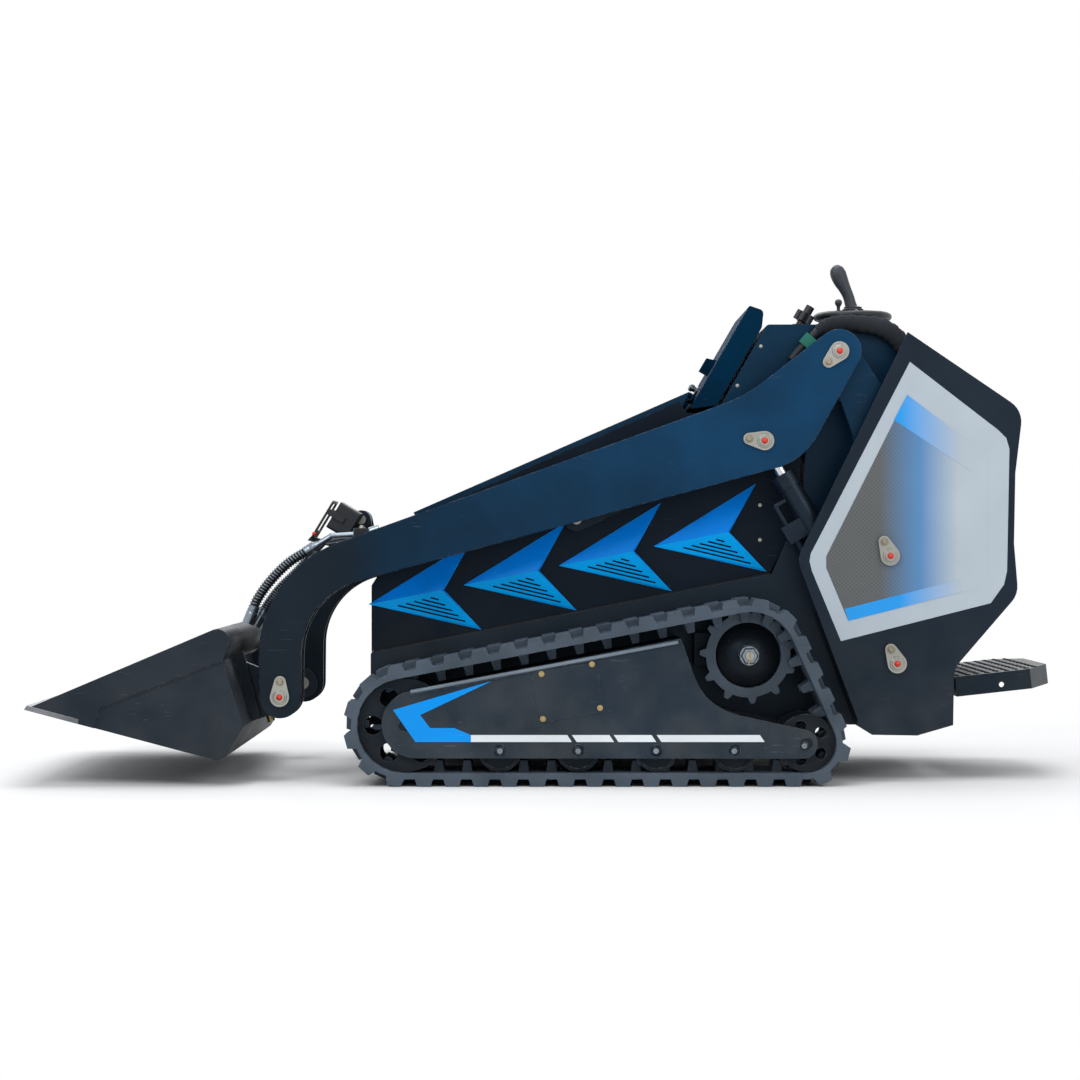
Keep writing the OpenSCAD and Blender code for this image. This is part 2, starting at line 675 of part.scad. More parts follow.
// Bucket and its attachment plate
back_top = [832, 319];
back_foot = [779, 152];
back_way = (back_top - back_foot) / norm(back_top - back_foot);
back_rear = [-back_way[1], back_way[0]];
bucket_tip = [1332, 196];
heel = [845, 98, 30];
bucket_line = [
  disc(bucket_tip, 0), [844, 370, 30], disc(back_top, 0), disc(back_foot, 0), [804, 109, 0], heel
];
bucket_hollow = [
  [852, 105, 24], [1420, 232, 0], [1420, 600, 0], [868, 600, 0], [868, 352, 0],
  [843, 316, 0], [792, 156, 0], [815, 117, 0]
];
low_way = touch_angle(heel, disc(bucket_tip, 0));
function under(s, d) = centre(heel) + heel[2] * dir(low_way) + s * dir(low_way + 90) + d * dir(low_way);
skid_ys = [-330, 0, 330];
skid_t = 7;
edge_line = [[1332, 196], [1197, 160], [1194, 172], [1325, 207]];
module attach_plate() color("#1b1e25") {
  slab(4 - arm_in, 2 * (arm_in - 4)) polygon([
    back_foot + back_rear, back_foot + 17 * back_rear,
    back_top - 3 * back_way + 17 * back_rear, back_top - 3 * back_way + back_rear
  ]);
  both() {
    slab(arm_in - 28, 24) difference() {
      polygon(wrap([
        disc(pin_p, 42), disc(back_foot + 10 * back_rear, 0),
        disc(back_top - 10 * back_way + 10 * back_rear, 0)
      ]));
      translate(pin_p) circle(r = pin_r + fit);
    }
    slab(28, 14) difference() {
      polygon(wrap([
        disc(pin_t, 24), disc(back_foot + 100 * back_way + 10 * back_rear, 0),
        disc(back_top - 10 * back_way + 10 * back_rear, 0)
      ]));
      translate(pin_t) circle(r = 13);
    }
    pin(pin_t, 13, 23, 42);
  }
}
module bucket() color("#3c3f47") {
  difference() {
    slab(6 - bucket_width / 2, bucket_width - 12) polygon(wrap(bucket_line));
    slab(16 - bucket_width / 2, bucket_width - 32) polygon(wrap(bucket_hollow));
    slab(-bucket_width / 2, bucket_width) polygon(edge_line);
  }
  both() {
    slab(bucket_width / 2 - 6, 6) difference() {
      polygon(wrap([
        disc(bucket_tip, 0), [844, 370, 30], disc(back_top, 0), [1140, 200, 0], [1155, 149, 0]
      ]));
      polygon(edge_line);
    }
    slab(arm_in + 4, 12) polygon([back_top, back_foot, [758, 158], [806, 335]]);
  }
  for (y = skid_ys) slab(y - 30, 60)
    polygon([under(60, -1), under(330, -1), under(318, skid_t), under(72, skid_t)]);
}
module cutting_edge() color("#5a5d63") slab(-bucket_width / 2, bucket_width) polygon(edge_line);
module lock_pins() color("#b98d3a") both() {
  foot = back_foot + 32 * back_rear - 20 * back_way;
  along(foot, foot + back_way, 200) cylinder(r = 10, h = 110);
  along(foot + 30 * back_way, foot + 31 * back_way, 200) cylinder(r = 14, h = 60);
}

// Hood over the engine
hood_line = [[363, 698], [-368, 1018], [-342, 962], [343, 660]];
hood_under = [[364, 692], [-370, 1012], [-370, 900], [364, 600]];
module hood() color("#141925") {
  difference() {
    slab(hull_t - panel_y, 2 * (panel_y - hull_t)) polygon(hood_line);
    slab(18 - panel_y, 2 * (panel_y - 18)) polygon(hood_under);
    both() slab(118, 43) translate(hood_pin) circle(r = 14);
  }
  both() difference() {
    pin(hood_pin, 11, 161, 196);
    pin(hood_pin, 5 + fit, 150, 200);
  }
}

// Operator's platform
platform_length = 276;
platform_tilt = 6.3;
platform_front = 12;
platform_plan = [
  [-platform_front, -platform_y], [-platform_front, platform_y], [-210, platform_y], [-platform_length, 160],
  [-platform_length, -160], [-210, -platform_y]
];
platform_under = [
  [-platform_front - 6, 6 - platform_y], [-platform_front - 6, platform_y - 6],
  [-207, platform_y - 6], [6 - platform_length, 157],
  [6 - platform_length, -157], [-207, 6 - platform_y]
];
module platform() color("#24272c") {
  translate([-1052, 0, 263]) rotate([0, platform_tilt, 0]) difference() {
    translate([0, 0, -platform_t]) linear_extrude(platform_t) polygon(platform_plan);
    translate([0, 0, -platform_t - 1]) linear_extrude(platform_t - 4) polygon(platform_under);
    translate([-132, platform_y + 1, -33]) rotate([90, 0, 0]) cylinder(r = 7, h = 2 * platform_y + 2);
  }
  both() slab(194, 14) difference() {
    polygon(wrap([disc(step_pin, 20), [-1068, 252, 0], [-1068, 224, 0]]));
    translate(step_pin) circle(r = 9 + fit);
  }
}

chassis_frame();
side_plate_left();
side_plate_right();
side_panel_left();
side_panel_right();
grilles_left();
grilles_right();
front_panel();
engine_block();
guard();
console();
hip_pad();
control_disc();
joystick();
filler_cap();
hose_sleeve();
hose_clamp();
frame_pins();
track_left();
track_right();
track_frame_left();
track_frame_right();
track_rollers();
front_idlers();
rear_idlers();
sprockets();
drive_hubs();
rear_links();
arm_left();
arm_right();
cross_tube();
arm_pins();
work_lamp();
arm_lines();
guarded_hoses();
control_links();
lift_barrels();
lift_rods();
attach_plate();
bucket();
cutting_edge();
lock_pins();
tilt_barrel();
tilt_rod();
hood();
platform();
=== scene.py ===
"""Looks of the stand-on mini track loader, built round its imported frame. Metres, +X forward, +Z up."""

from __future__ import annotations

import json
import logging
import math
from dataclasses import dataclass, field, replace
from enum import Enum
from functools import cache

import bmesh
import bpy
from mathutils import Matrix, Vector

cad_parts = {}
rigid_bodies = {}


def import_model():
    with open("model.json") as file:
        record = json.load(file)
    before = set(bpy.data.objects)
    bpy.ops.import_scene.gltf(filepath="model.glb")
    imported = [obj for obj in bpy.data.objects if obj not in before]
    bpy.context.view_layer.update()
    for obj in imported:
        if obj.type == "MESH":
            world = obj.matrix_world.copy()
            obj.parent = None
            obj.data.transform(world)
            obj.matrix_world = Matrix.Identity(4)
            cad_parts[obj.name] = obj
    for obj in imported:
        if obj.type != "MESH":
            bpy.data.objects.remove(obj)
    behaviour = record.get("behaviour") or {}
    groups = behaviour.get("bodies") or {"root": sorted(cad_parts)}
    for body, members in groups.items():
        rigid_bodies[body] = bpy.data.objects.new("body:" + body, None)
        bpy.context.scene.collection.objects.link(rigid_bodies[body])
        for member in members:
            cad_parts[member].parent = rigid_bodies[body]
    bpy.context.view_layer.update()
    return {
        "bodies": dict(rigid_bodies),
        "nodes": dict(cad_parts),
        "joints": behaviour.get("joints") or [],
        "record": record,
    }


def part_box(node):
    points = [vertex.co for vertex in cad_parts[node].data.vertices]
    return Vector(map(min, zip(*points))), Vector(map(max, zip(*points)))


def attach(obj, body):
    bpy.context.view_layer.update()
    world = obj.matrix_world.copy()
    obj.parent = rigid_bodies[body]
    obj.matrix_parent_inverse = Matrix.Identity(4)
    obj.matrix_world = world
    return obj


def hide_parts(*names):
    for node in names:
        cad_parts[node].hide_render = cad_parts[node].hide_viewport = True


# Short names of types
Colour = tuple[float, float, float]
Flat = tuple[float, float]
Point = tuple[float, float, float]
Mesh = bpy.types.Mesh
Node = bpy.types.Node
Paint = bpy.types.Material
Piece = bpy.types.Object
Socket = bpy.types.NodeSocket
Tree = bpy.types.NodeTree
Work = bmesh.types.BMesh

log = logging.getLogger("track_loader")
SIDES = {1: "left", -1: "right"}
UP: Point = (0.0, 0.0, 1.0)
WHITE: Colour = (1.0, 1.0, 1.0)
WHOLE_TURN = 2 * math.pi
MERGE = 1e-6
SHEET_LIFT = 0.0001


class Grain(Enum):
    """The fine relief of a surface."""

    PEEL = "powder_coat_peel"
    MOULDED = "moulded_grain"
    RUBBER = "rubber_skin"
    CAST = "cast_skin"
    DRAWN = "drawn_lines"
    WOVEN = "woven_sleeve"


class Fitting(Enum):
    """The small shapes that repeat over the machine."""

    HEX_BOLT = "hex_bolt"
    SOCKET_BOLT = "socket_bolt"
    GREASE_CAP = "grease_cap"
    HEX_NUT = "hex_nut"
    PIN_RING = "pin_ring"
    TREAD_BAR = "tread_bar"


class Wiring:
    """A node tree with short ways to add nodes and join them."""

    def __init__(self, tree: Tree) -> None:
        """Keeps the tree that nodes are added to."""
        self.tree = tree

    def add(self, kind: str, **values: object) -> Node:
        """Adds a node and sets its inputs or its settings by name.

        Args:
            kind: The node's type name.
            values: Input sockets, joined or set, or settings of the node. Spaces are written as _.

        Returns:
            The new node.
        """
        node = self.tree.nodes.new(kind)
        for key, value in values.items():
            if hasattr(node, key):
                setattr(node, key, value)
        for key, value in values.items():
            if not hasattr(node, key):
                self.put(node.inputs[key.replace("_", " ")], value)
        return node

    def put(self, socket: Socket, value: object) -> None:
        """Joins a socket to another one, or sets its value.

        Args:
            socket: The socket to feed.
            value: Another socket, or a plain value. A colour has no alpha.
        """
        if isinstance(value, Socket):
            self.tree.links.new(value, socket)
        elif socket.type == "RGBA":
            socket.default_value = (*value, 1.0)
        else:
            socket.default_value = value

    def maths(self, operation: str, a: object, b: object = 0.0) -> Socket:
        """Gives the result of a sum on two values.

        Args:
            operation: The name of the sum.
            a: First value or socket.
            b: Second value or socket.

        Returns:
            The result's socket.
        """
        node = self.add("ShaderNodeMath", operation=operation)
        self.put(node.inputs[0], a)
        self.put(node.inputs[1], b)
        return node.outputs[0]

    def vectors(self, operation: str, a: object, b: object = (0.0, 0.0, 0.0)) -> Node:
        """Adds a sum on two vectors.

        Args:
            operation: The name of the sum.
            a: First vector or socket.
            b: Second vector or socket.

        Returns:
            The node, which gives a vector and a value.
        """
        node = self.add("ShaderNodeVectorMath", operation=operation)
        self.put(node.inputs[0], a)
        self.put(node.inputs[1], b)
        return node

    def blend(self, share: object, a: object, b: object) -> Socket:
        """Mixes two colours.

        Args:
            share: How much of the second colour shows.
            a: First colour.
            b: Second colour.

        Returns:
            The mixed colour's socket.
        """
        node = self.add("ShaderNodeMix", data_type="RGBA")
        self.put(node.inputs[0], share)
        # The colour sockets come after those for numbers and vectors
        self.put(node.inputs[6], a)
        self.put(node.inputs[7], b)
        return node.outputs[2]

    def spread(self, value: object, low: object, high: object, out_low: object, out_high: object) -> Socket:
        """Maps a value from one span to another, held at both ends.

        Args:
            value: The value to map.
            low: Start of its span.
            high: End of its span.
            out_low: Result at the start.
            out_high: Result at the end.

        Returns:
            The mapped value's socket.
        """
        node = self.add("ShaderNodeMapRange", Value=value)
        for index, limit in enumerate((low, high, out_low, out_high), start=1):
            self.put(node.inputs[index], limit)
        return node.outputs[0]

    def mask(self, value: object, low: float, high: float) -> Socket:
        """Gives 0 up to one value, 1 from another on, and a ramp between them."""
        return self.spread(value, low, high, 0.0, 1.0)

    def noise(self, vector: object, scale: object, detail: float = 2.0) -> Socket:
        """Gives a cloudy value from 0 to 1 over the surface."""
        return self.add("ShaderNodeTexNoise", Vector=vector, Scale=scale, Detail=detail).outputs[0]

    def stretch(self, vector: object, scale: Point) -> Socket:
        """Stretches coordinates by a factor for each axis."""
        return self.add("ShaderNodeMapping", Vector=vector, Scale=scale).outputs[0]


def new_paint(name: str) -> tuple[Paint, Wiring, Socket]:
    """Starts a material with an empty tree.

    Args:
        name: The material's name.

    Returns:
        The material, its wiring and the coordinates of the piece it lies on.
    """
    made = bpy.data.materials.new(name)
    made.use_nodes = True
    wiring = Wiring(made.node_tree)
    wiring.tree.nodes.clear()
    return made, wiring, wiring.add("ShaderNodeTexCoord").outputs["Object"]


def link(name: str, data: bpy.types.ID) -> Piece:
    """Puts an object into the scene.

    Args:
        name: The object's name.
        data: Its mesh, light or camera.

    Returns:
        The object.
    """
    made = bpy.data.objects.new(name, data)
    bpy.context.scene.collection.objects.link(made)
    return made


def evaluated_mesh(piece: Piece) -> Mesh:
    """Gives what a piece's modifiers make of its mesh.

    Args:
        piece: The piece.

    Returns:
        A new mesh.
    """
    depsgraph = bpy.context.evaluated_depsgraph_get()
    return bpy.data.meshes.new_from_object(piece.evaluated_get(depsgraph), depsgraph=depsgraph)


class Effects:
    """Shader groups that several finishes share. Each is built once."""

    PEEL_SCALE = 45.0
    PEEL_DEPTH = 1.5
    CELL_DEPTHS = {Grain.MOULDED: 0.35, Grain.RUBBER: 1.2, Grain.CAST: 1.2}
    DRAWN_WAY = (0.15, 1.0, 1.0)
    CHIP_SCALE = 70.0
    CHIP_SPAN = (0.45, 0.62)
    BEND_SPAN = (0.02, 0.16)
    CLOUD_SPAN = (0.3, 0.7)
    PATCH_SCALE = 9.0
    PATCH_SPAN = (0.35, 0.75)
    SCRATCH_WAY = (6.0, 60.0, 130.0)
    SCRATCH_SCALE = 3.0
    SCRATCH_SPAN = (0.66, 0.72)
    SPOT_SCALE = 7.0
    SPOT_SPAN = (0.5, 0.65)

    @staticmethod
    def _open(name: str, inputs: dict[str, str], outputs: dict[str, str]) -> tuple[Wiring, dict]:
        """Starts a group with its sockets.

        Args:
            name: The group's name.
            inputs: Name and socket type of each input.
            outputs: Name and socket type of each output.

        Returns:
            The group's wiring and its group input sockets by name.
        """
        tree = bpy.data.node_groups.new(name, "ShaderNodeTree")
        for label, kind in inputs.items():
            tree.interface.new_socket(label, in_out="INPUT", socket_type=kind)
        for label, kind in outputs.items():
            tree.interface.new_socket(label, in_out="OUTPUT", socket_type=kind)
        wiring = Wiring(tree)
        source = wiring.add("NodeGroupInput")
        return wiring, {s.name: s for s in source.outputs if s.name}

    @staticmethod
    def _close(wiring: Wiring, **results: Socket) -> Tree:
        """Joins a group's results to its outputs.

        Args:
            wiring: The group's wiring.
            results: The socket for each output.

        Returns:
            The group.
        """
        sink = wiring.add("NodeGroupOutput")
        for label, socket in results.items():
            wiring.put(sink.inputs[label], socket)
        return wiring.tree

    @classmethod
    @cache
    def grain(cls, kind: Grain) -> Tree:
        """Gives the group that makes one kind of fine relief.

        Args:
            kind: The relief wanted.

        Returns:
            A group with Vector and Scale in and Height out.
        """
        sockets = {"Vector": "NodeSocketVector", "Scale": "NodeSocketFloat"}
        w, given = cls._open(kind.value, sockets, {"Height": "NodeSocketFloat"})
        vector, scale = given["Vector"], given["Scale"]
        if kind is Grain.DRAWN:
            height = w.noise(w.stretch(vector, cls.DRAWN_WAY), scale, detail=3.0)
        elif kind is Grain.WOVEN:
            lines = w.add("ShaderNodeTexWave", Vector=vector, Scale=scale, Distortion=1.5, Detail=1.0)
            across = w.add("ShaderNodeTexWave", Vector=vector, Scale=scale, bands_direction="Z")
            height = w.maths("MULTIPLY", lines.outputs["Fac"], across.outputs["Fac"])
        elif kind is Grain.PEEL:
            broad = w.maths("MULTIPLY", w.noise(vector, cls.PEEL_SCALE), cls.PEEL_DEPTH)
            height = w.maths("ADD", w.noise(vector, scale), broad)
        else:
            cells = w.add("ShaderNodeTexVoronoi", Vector=vector, Scale=scale)
            pits = w.maths("MULTIPLY", cells.outputs[0], cls.CELL_DEPTHS[kind])
            height = w.maths("ADD", w.noise(vector, scale, detail=4.0), pits)
        return cls._close(w, Height=height)

    @classmethod
    @cache
    def edges(cls) -> Tree:
        """Gives the group that rounds sharp edges and masks worn edges, which some finishes use as painted
        highlight.

        Returns:
            A group with Normal and Mask out.
        """
        results = {"Normal": "NodeSocketVector", "Mask": "NodeSocketFloat"}
        sockets = {"Vector": "NodeSocketVector", "Radius": "NodeSocketFloat", "Wear": "NodeSocketFloat"}
        w, given = cls._open("edge_rounding", sockets, results)
        rounded = w.add("ShaderNodeBevel", samples=4, Radius=given["Radius"]).outputs[0]
        flat = w.add("ShaderNodeNewGeometry").outputs["Normal"]
        bent = w.maths("SUBTRACT", 1.0, w.vectors("DOT_PRODUCT", rounded, flat).outputs["Value"])
        chips = w.mask(w.noise(given["Vector"], cls.CHIP_SCALE, detail=5.0), *cls.CHIP_SPAN)
        mask = w.maths("MULTIPLY", w.mask(bent, *cls.BEND_SPAN), chips)
        return cls._close(w, Normal=rounded, Mask=w.maths("MULTIPLY", mask, given["Wear"]))

    @classmethod
    @cache
    def clouds(cls) -> Tree:
        """Gives the group of broad, soft changes of tone.

        Returns:
            A group with Mask out.
        """
        sockets = {"Vector": "NodeSocketVector", "Scale": "NodeSocketFloat"}
        w, given = cls._open("tone_clouds", sockets, {"Mask": "NodeSocketFloat"})
        broad = w.noise(given["Vector"], given["Scale"], detail=6.0)
        return cls._close(w, Mask=w.mask(broad, *cls.CLOUD_SPAN))

    @classmethod
    @cache
    def dust(cls) -> Tree:
        """Gives the group of ground dust that thins out with height.

        Returns:
            A group with Mask out.
        """
        sockets = {"Vector": "NodeSocketVector", "Level": "NodeSocketFloat", "Amount": "NodeSocketFloat"}
        w, given = cls._open("ground_dust", sockets, {"Mask": "NodeSocketFloat"})
        height = w.add("ShaderNodeSeparateXYZ", Vector=given["Vector"]).outputs[2]
        low = w.spread(height, 0.0, given["Level"], 1.0, 0.0)
        patches = w.mask(w.noise(given["Vector"], cls.PATCH_SCALE, detail=8.0), *cls.PATCH_SPAN)
        mask = w.maths("MULTIPLY", low, patches)
        return cls._close(w, Mask=w.maths("MULTIPLY", mask, given["Amount"]))

    @classmethod
    @cache
    def scratches(cls) -> Tree:
        """Gives the group of thin scratches that run along the machine.

        Returns:
            A group with Mask out.
        """
        sockets = {"Vector": "NodeSocketVector", "Amount": "NodeSocketFloat"}
        w, given = cls._open("thin_scratches", sockets, {"Mask": "NodeSocketFloat"})
        lines = w.noise(w.stretch(given["Vector"], cls.SCRATCH_WAY), cls.SCRATCH_SCALE, detail=4.0)
        spots = w.mask(w.noise(given["Vector"], cls.SPOT_SCALE, detail=3.0), *cls.SPOT_SPAN)
        mask = w.maths("MULTIPLY", w.mask(lines, *cls.SCRATCH_SPAN), spots)
        return cls._close(w, Mask=w.maths("MULTIPLY", mask, given["Amount"]))


@dataclass(frozen=True)
class Finish:
    """A surface finish: colour, gloss, relief, worn edges with some painted edge highlight, and dust."""

    CLOUD_SCALE = 5.0
    GLOSS_SPAN = (0.88, 1.14)
    DUST_MATT = 0.3
    RELIEF_DEPTH = 0.001

    name: str
    slot: str
    colour: Colour
    roughness: float
    metallic: float = 0.0
    grain: Grain = Grain.PEEL
    grain_scale: float = 500.0
    relief: float = 0.12
    tone: float = 0.15
    edge: float = 0.002
    # Worn paint on the edges; on some finishes it also paints highlights there
    wear_and_highlight: float = 0.0
    wear_and_highlight_colour: Colour = (0.32, 0.33, 0.35)
    dust: float = 0.15
    dust_level: float = 0.5
    dust_colour: Colour = (0.23, 0.215, 0.19)
    scratch: float = 0.15
    specular: float = 0.5
    sheen: Colour = WHITE

    def base(self, w: Wiring, vector: Socket) -> object:
        """Gives the colour before tone, worn edges with their painted highlight, and dust."""
        return self.colour

    @cache
    def material(self) -> Paint:
        """Builds the finish's material once.

        Returns:
            The material.
        """
        made, w, vector = new_paint(self.name)
        made.diffuse_color = (*self.colour, 1.0)

        def effect(tree: Tree, **values: float) -> Node:
            """Places a shared effect on the piece's own coordinates."""
            return w.add("ShaderNodeGroup", node_tree=tree, Vector=vector, **values)

        clouds = effect(Effects.clouds(), Scale=self.CLOUD_SCALE).outputs[0]
        light = w.spread(clouds, 0.0, 1.0, 1.0 - self.tone, 1.0 + self.tone)
        colour = w.add("ShaderNodeHueSaturation", Value=light, Color=self.base(w, vector)).outputs[0]
        edges = effect(Effects.edges(), Radius=self.edge, Wear=self.wear_and_highlight)
        # The edge mask is worn paint, and on some finishes a painted highlight as well
        rub_and_highlight = edges.outputs["Mask"]
        if self.scratch:
            rub_and_highlight = w.maths("MAXIMUM", rub_and_highlight, effect(Effects.scratches(), Amount=self.scratch).outputs[0])
        colour = w.blend(rub_and_highlight, colour, self.wear_and_highlight_colour)
        dust = effect(Effects.dust(), Level=self.dust_level, Amount=self.dust).outputs[0]
        colour = w.blend(dust, colour, self.dust_colour)
        smooth, matt = (self.roughness * share for share in self.GLOSS_SPAN)
        gloss = w.spread(clouds, 0.0, 1.0, smooth, min(1.0, matt))
        gloss = w.maths("ADD", gloss, w.maths("MULTIPLY", dust, self.DUST_MATT))
        relief = effect(Effects.grain(self.grain), Scale=self.grain_scale).outputs[0]
        bump = w.add("ShaderNodeBump", Strength=self.relief, Distance=self.RELIEF_DEPTH, Height=relief)
        w.put(bump.inputs["Normal"], edges.outputs["Normal"])
        shader = w.add("ShaderNodeBsdfPrincipled", Roughness=gloss, Metallic=self.metallic)
        w.put(shader.inputs["Base Color"], colour)
        w.put(shader.inputs["Normal"], bump.outputs[0])
        w.put(shader.inputs["Specular IOR Level"], self.specular)
        w.put(shader.inputs["Specular Tint"], self.sheen)
        w.add("ShaderNodeOutputMaterial", Surface=shader.outputs[0])
        return made


@dataclass(frozen=True)
class ShadedFacetFinish(Finish):
    """A paint whose faces that look up are a deeper colour than those that look down: painted shade above,
    painted reflection below.
    """

    # The deeper blue of faces that look up is painted shade
    upper_painted_shade: Colour = (0.0, 0.215, 0.82)
    turn: float = 0.04

    def base(self, w: Wiring, vector: Socket) -> object:
        """Paints shade and reflection into the colour by the way a face looks.

        Args:
            w: The material's wiring.
            vector: The piece's own coordinates; not used here.

        Returns:
            The colour's socket.
        """
        normal = w.add("ShaderNodeNewGeometry").outputs["True Normal"]
        up = w.add("ShaderNodeSeparateXYZ", Vector=normal).outputs[2]
        share = w.mask(up, -self.turn, self.turn)
        return w.blend(share, self.colour, self.upper_painted_shade)


@dataclass(frozen=True)
class ShadedSweepFinish(Finish):
    """A navy paint with painted shade that makes it nearly black in front, turning blue towards the rear."""

    # The front and middle colours are painted shade over the navy coat
    front: Colour = (0.005, 0.008, 0.013)
    middle: Colour = (0.001, 0.014, 0.034)
    front_x: float = 0.56
    middle_x: float = 0.42
    rear_x: float = -0.55

    def base(self, w: Wiring, vector: Socket) -> object:
        """Gives the colour by the place along the machine, with painted shade towards the front.

        Args:
            w: The material's wiring.
            vector: The piece's own coordinates.

        Returns:
            The colour's socket.
        """
        x = w.add("ShaderNodeSeparateXYZ", Vector=vector).outputs[0]
        first = w.mask(x, self.front_x, self.middle_x)
        last = w.mask(x, self.middle_x, self.rear_x)
        front_painted_shade = w.blend(first, self.front, self.middle)
        return w.blend(last, front_painted_shade, self.colour)


@dataclass(frozen=True)
class FadeFinish(Finish):
    """A printed sheet that fades rearward from a dotted grey through blue to silver."""

    grey: Colour = (0.095, 0.103, 0.106)
    blue: Colour = (0.075, 0.225, 0.46)
    start_x: float = -0.85
    middle_x: float = -0.955
    end_x: float = -1.05
    dot: Colour = (0.045, 0.05, 0.055)
    dot_pitch: float = 0.0110
    dot_edge: Flat = (0.25, 0.55)
    dot_strength: float = 0.75
    flat_blue: bool = False

    def base(self, w: Wiring, vector: Socket) -> object:
        """Gives the fade, with a grid of dots where it is grey.

        Args:
            w: The material's wiring.
            vector: The piece's own coordinates.

        Returns:
            The colour's socket.
        """
        parts = w.add("ShaderNodeSeparateXYZ", Vector=vector)
        x, z = parts.outputs[0], parts.outputs[2]
        first = w.mask(x, self.start_x, self.middle_x)
        last = w.mask(x, self.middle_x, self.end_x)
        if self.flat_blue:
            return w.blend(last, self.blue, self.colour)
        waves = [w.maths("SINE", w.maths("MULTIPLY", c, WHOLE_TURN / self.dot_pitch)) for c in (x, z)]
        dots = w.spread(w.maths("MULTIPLY", *waves), *self.dot_edge, 0.0, self.dot_strength)
        dotted = w.blend(dots, self.grey, self.dot)
        return w.blend(last, w.blend(first, dotted, self.blue), self.colour)


@dataclass(frozen=True)
class GlassFinish(Finish):
    """A clear lens with moulded ribs."""

    clear: float = 0.85
    ribs: float = 90.0
    rib_relief: float = 0.25

    @cache
    def material(self) -> Paint:
        """Builds the lens material once.

        Returns:
            The material.
        """
        made, w, vector = new_paint(self.name)
        ribs = w.add("ShaderNodeTexWave", Vector=vector, Scale=self.ribs, bands_direction="Y")
        bump = w.add("ShaderNodeBump", Strength=self.rib_relief, Height=ribs.outputs["Fac"])
        w.put(bump.inputs["Distance"], self.RELIEF_DEPTH)
        shader = w.add("ShaderNodeBsdfPrincipled", Roughness=self.roughness)
        w.put(shader.inputs["Base Color"], self.colour)
        w.put(shader.inputs["Transmission Weight"], self.clear)
        w.put(shader.inputs["Normal"], bump.outputs[0])
        w.add("ShaderNodeOutputMaterial", Surface=shader.outputs[0])
        return made


# Finishes
SKY: Colour = (0.55, 0.78, 1.0)
SHEET = {"relief": 0.05, "tone": 0.05, "edge": 0.0004}
NAVY = Finish(
    "navy_powder_coat", "navy_paint", (0.0006, 0.020, 0.050), 0.34, wear_and_highlight=0.1, dust=0.06, tone=0.3,
    specular=0.22, sheen=SKY
)
# The arms' dark front is painted shade, and their light worn edges are partly painted highlight
ARM_PAINT_AND_SHADE = ShadedSweepFinish(
    "arm_powder_coat_and_painted_shade", "navy_paint", (0.002, 0.034, 0.088), 0.34, wear_and_highlight=0.25, dust=0.08, tone=0.3,
    specular=0.22, sheen=SKY
)
GUARD_PAINT = replace(NAVY, name="guard_powder_coat", roughness=0.78, specular=0.07, relief=0.02)
BLACK = Finish(
    "black_powder_coat", "black_paint", (0.005, 0.008, 0.014), 0.38, wear_and_highlight=0.2, dust=0.12, tone=0.35,
    specular=0.30, sheen=SKY
)
# A copy of the black coat with weaker reflection: painted shade for the arm's shadow on the side panels
SHADED_PANEL_PAINT = replace(BLACK, name="panel_powder_coat_painted_shade", specular=0.13)
CHARCOAL = Finish(
    "charcoal_bucket_paint", "charcoal_paint", (0.015, 0.019, 0.026), 0.50, wear_and_highlight=0.5, dust=0.12,
    scratch=0.35, tone=0.25, specular=0.22, sheen=SKY
)
FRAME_PAINT = Finish(
    "track_frame_paint", "charcoal_paint", (0.013, 0.019, 0.028), 0.42, wear_and_highlight=0.4, dust=0.2, scratch=0.3,
    tone=0.3, specular=0.30, sheen=SKY
)
# The arrows' upper and lower faces differ by painted shade and painted reflection, on one blue paint
BLUE = ShadedFacetFinish(
    "arrow_blue_paint_and_painted_reflection", "grille_blue", (0.0, 0.41, 1.0), 0.30, wear_and_highlight=0.06, dust=0.03, specular=0.45,
    sheen=(0.15, 0.55, 1.0)
)
# The tread's light worn edges are partly a painted highlight on its edges
RUBBER = Finish(
    "tread_rubber", "track_rubber", (0.050, 0.064, 0.084), 0.62, grain=Grain.RUBBER, grain_scale=260.0,
    relief=0.6, tone=0.45, edge=0.004, dust=0.20, dust_level=0.6, dust_colour=(0.17, 0.20, 0.235),
    scratch=0.3, wear_and_highlight=0.7, wear_and_highlight_colour=(0.17, 0.20, 0.24), specular=0.45, sheen=SKY
)
STEEL = Finish(
    "dark_rolled_steel", "dark_steel", (0.050, 0.068, 0.090), 0.42, metallic=0.6, grain=Grain.CAST,
    grain_scale=180.0, relief=0.25, tone=0.4, wear_and_highlight=0.9, wear_and_highlight_colour=(0.25, 0.29, 0.34), dust=0.3,
    dust_colour=(0.13, 0.155, 0.185), specular=0.3
)
# The light worn edges of the idlers and rollers are partly a painted highlight on their rims
IDLER_PAINT = Finish(
    "idler_paint", "dark_steel", (0.006, 0.009, 0.014), 0.36, grain=Grain.CAST, grain_scale=180.0,
    relief=0.25, tone=0.4, wear_and_highlight=0.9, wear_and_highlight_colour=(0.28, 0.32, 0.37), dust=0.1, scratch=0.3, specular=0.14,
    sheen=SKY
)
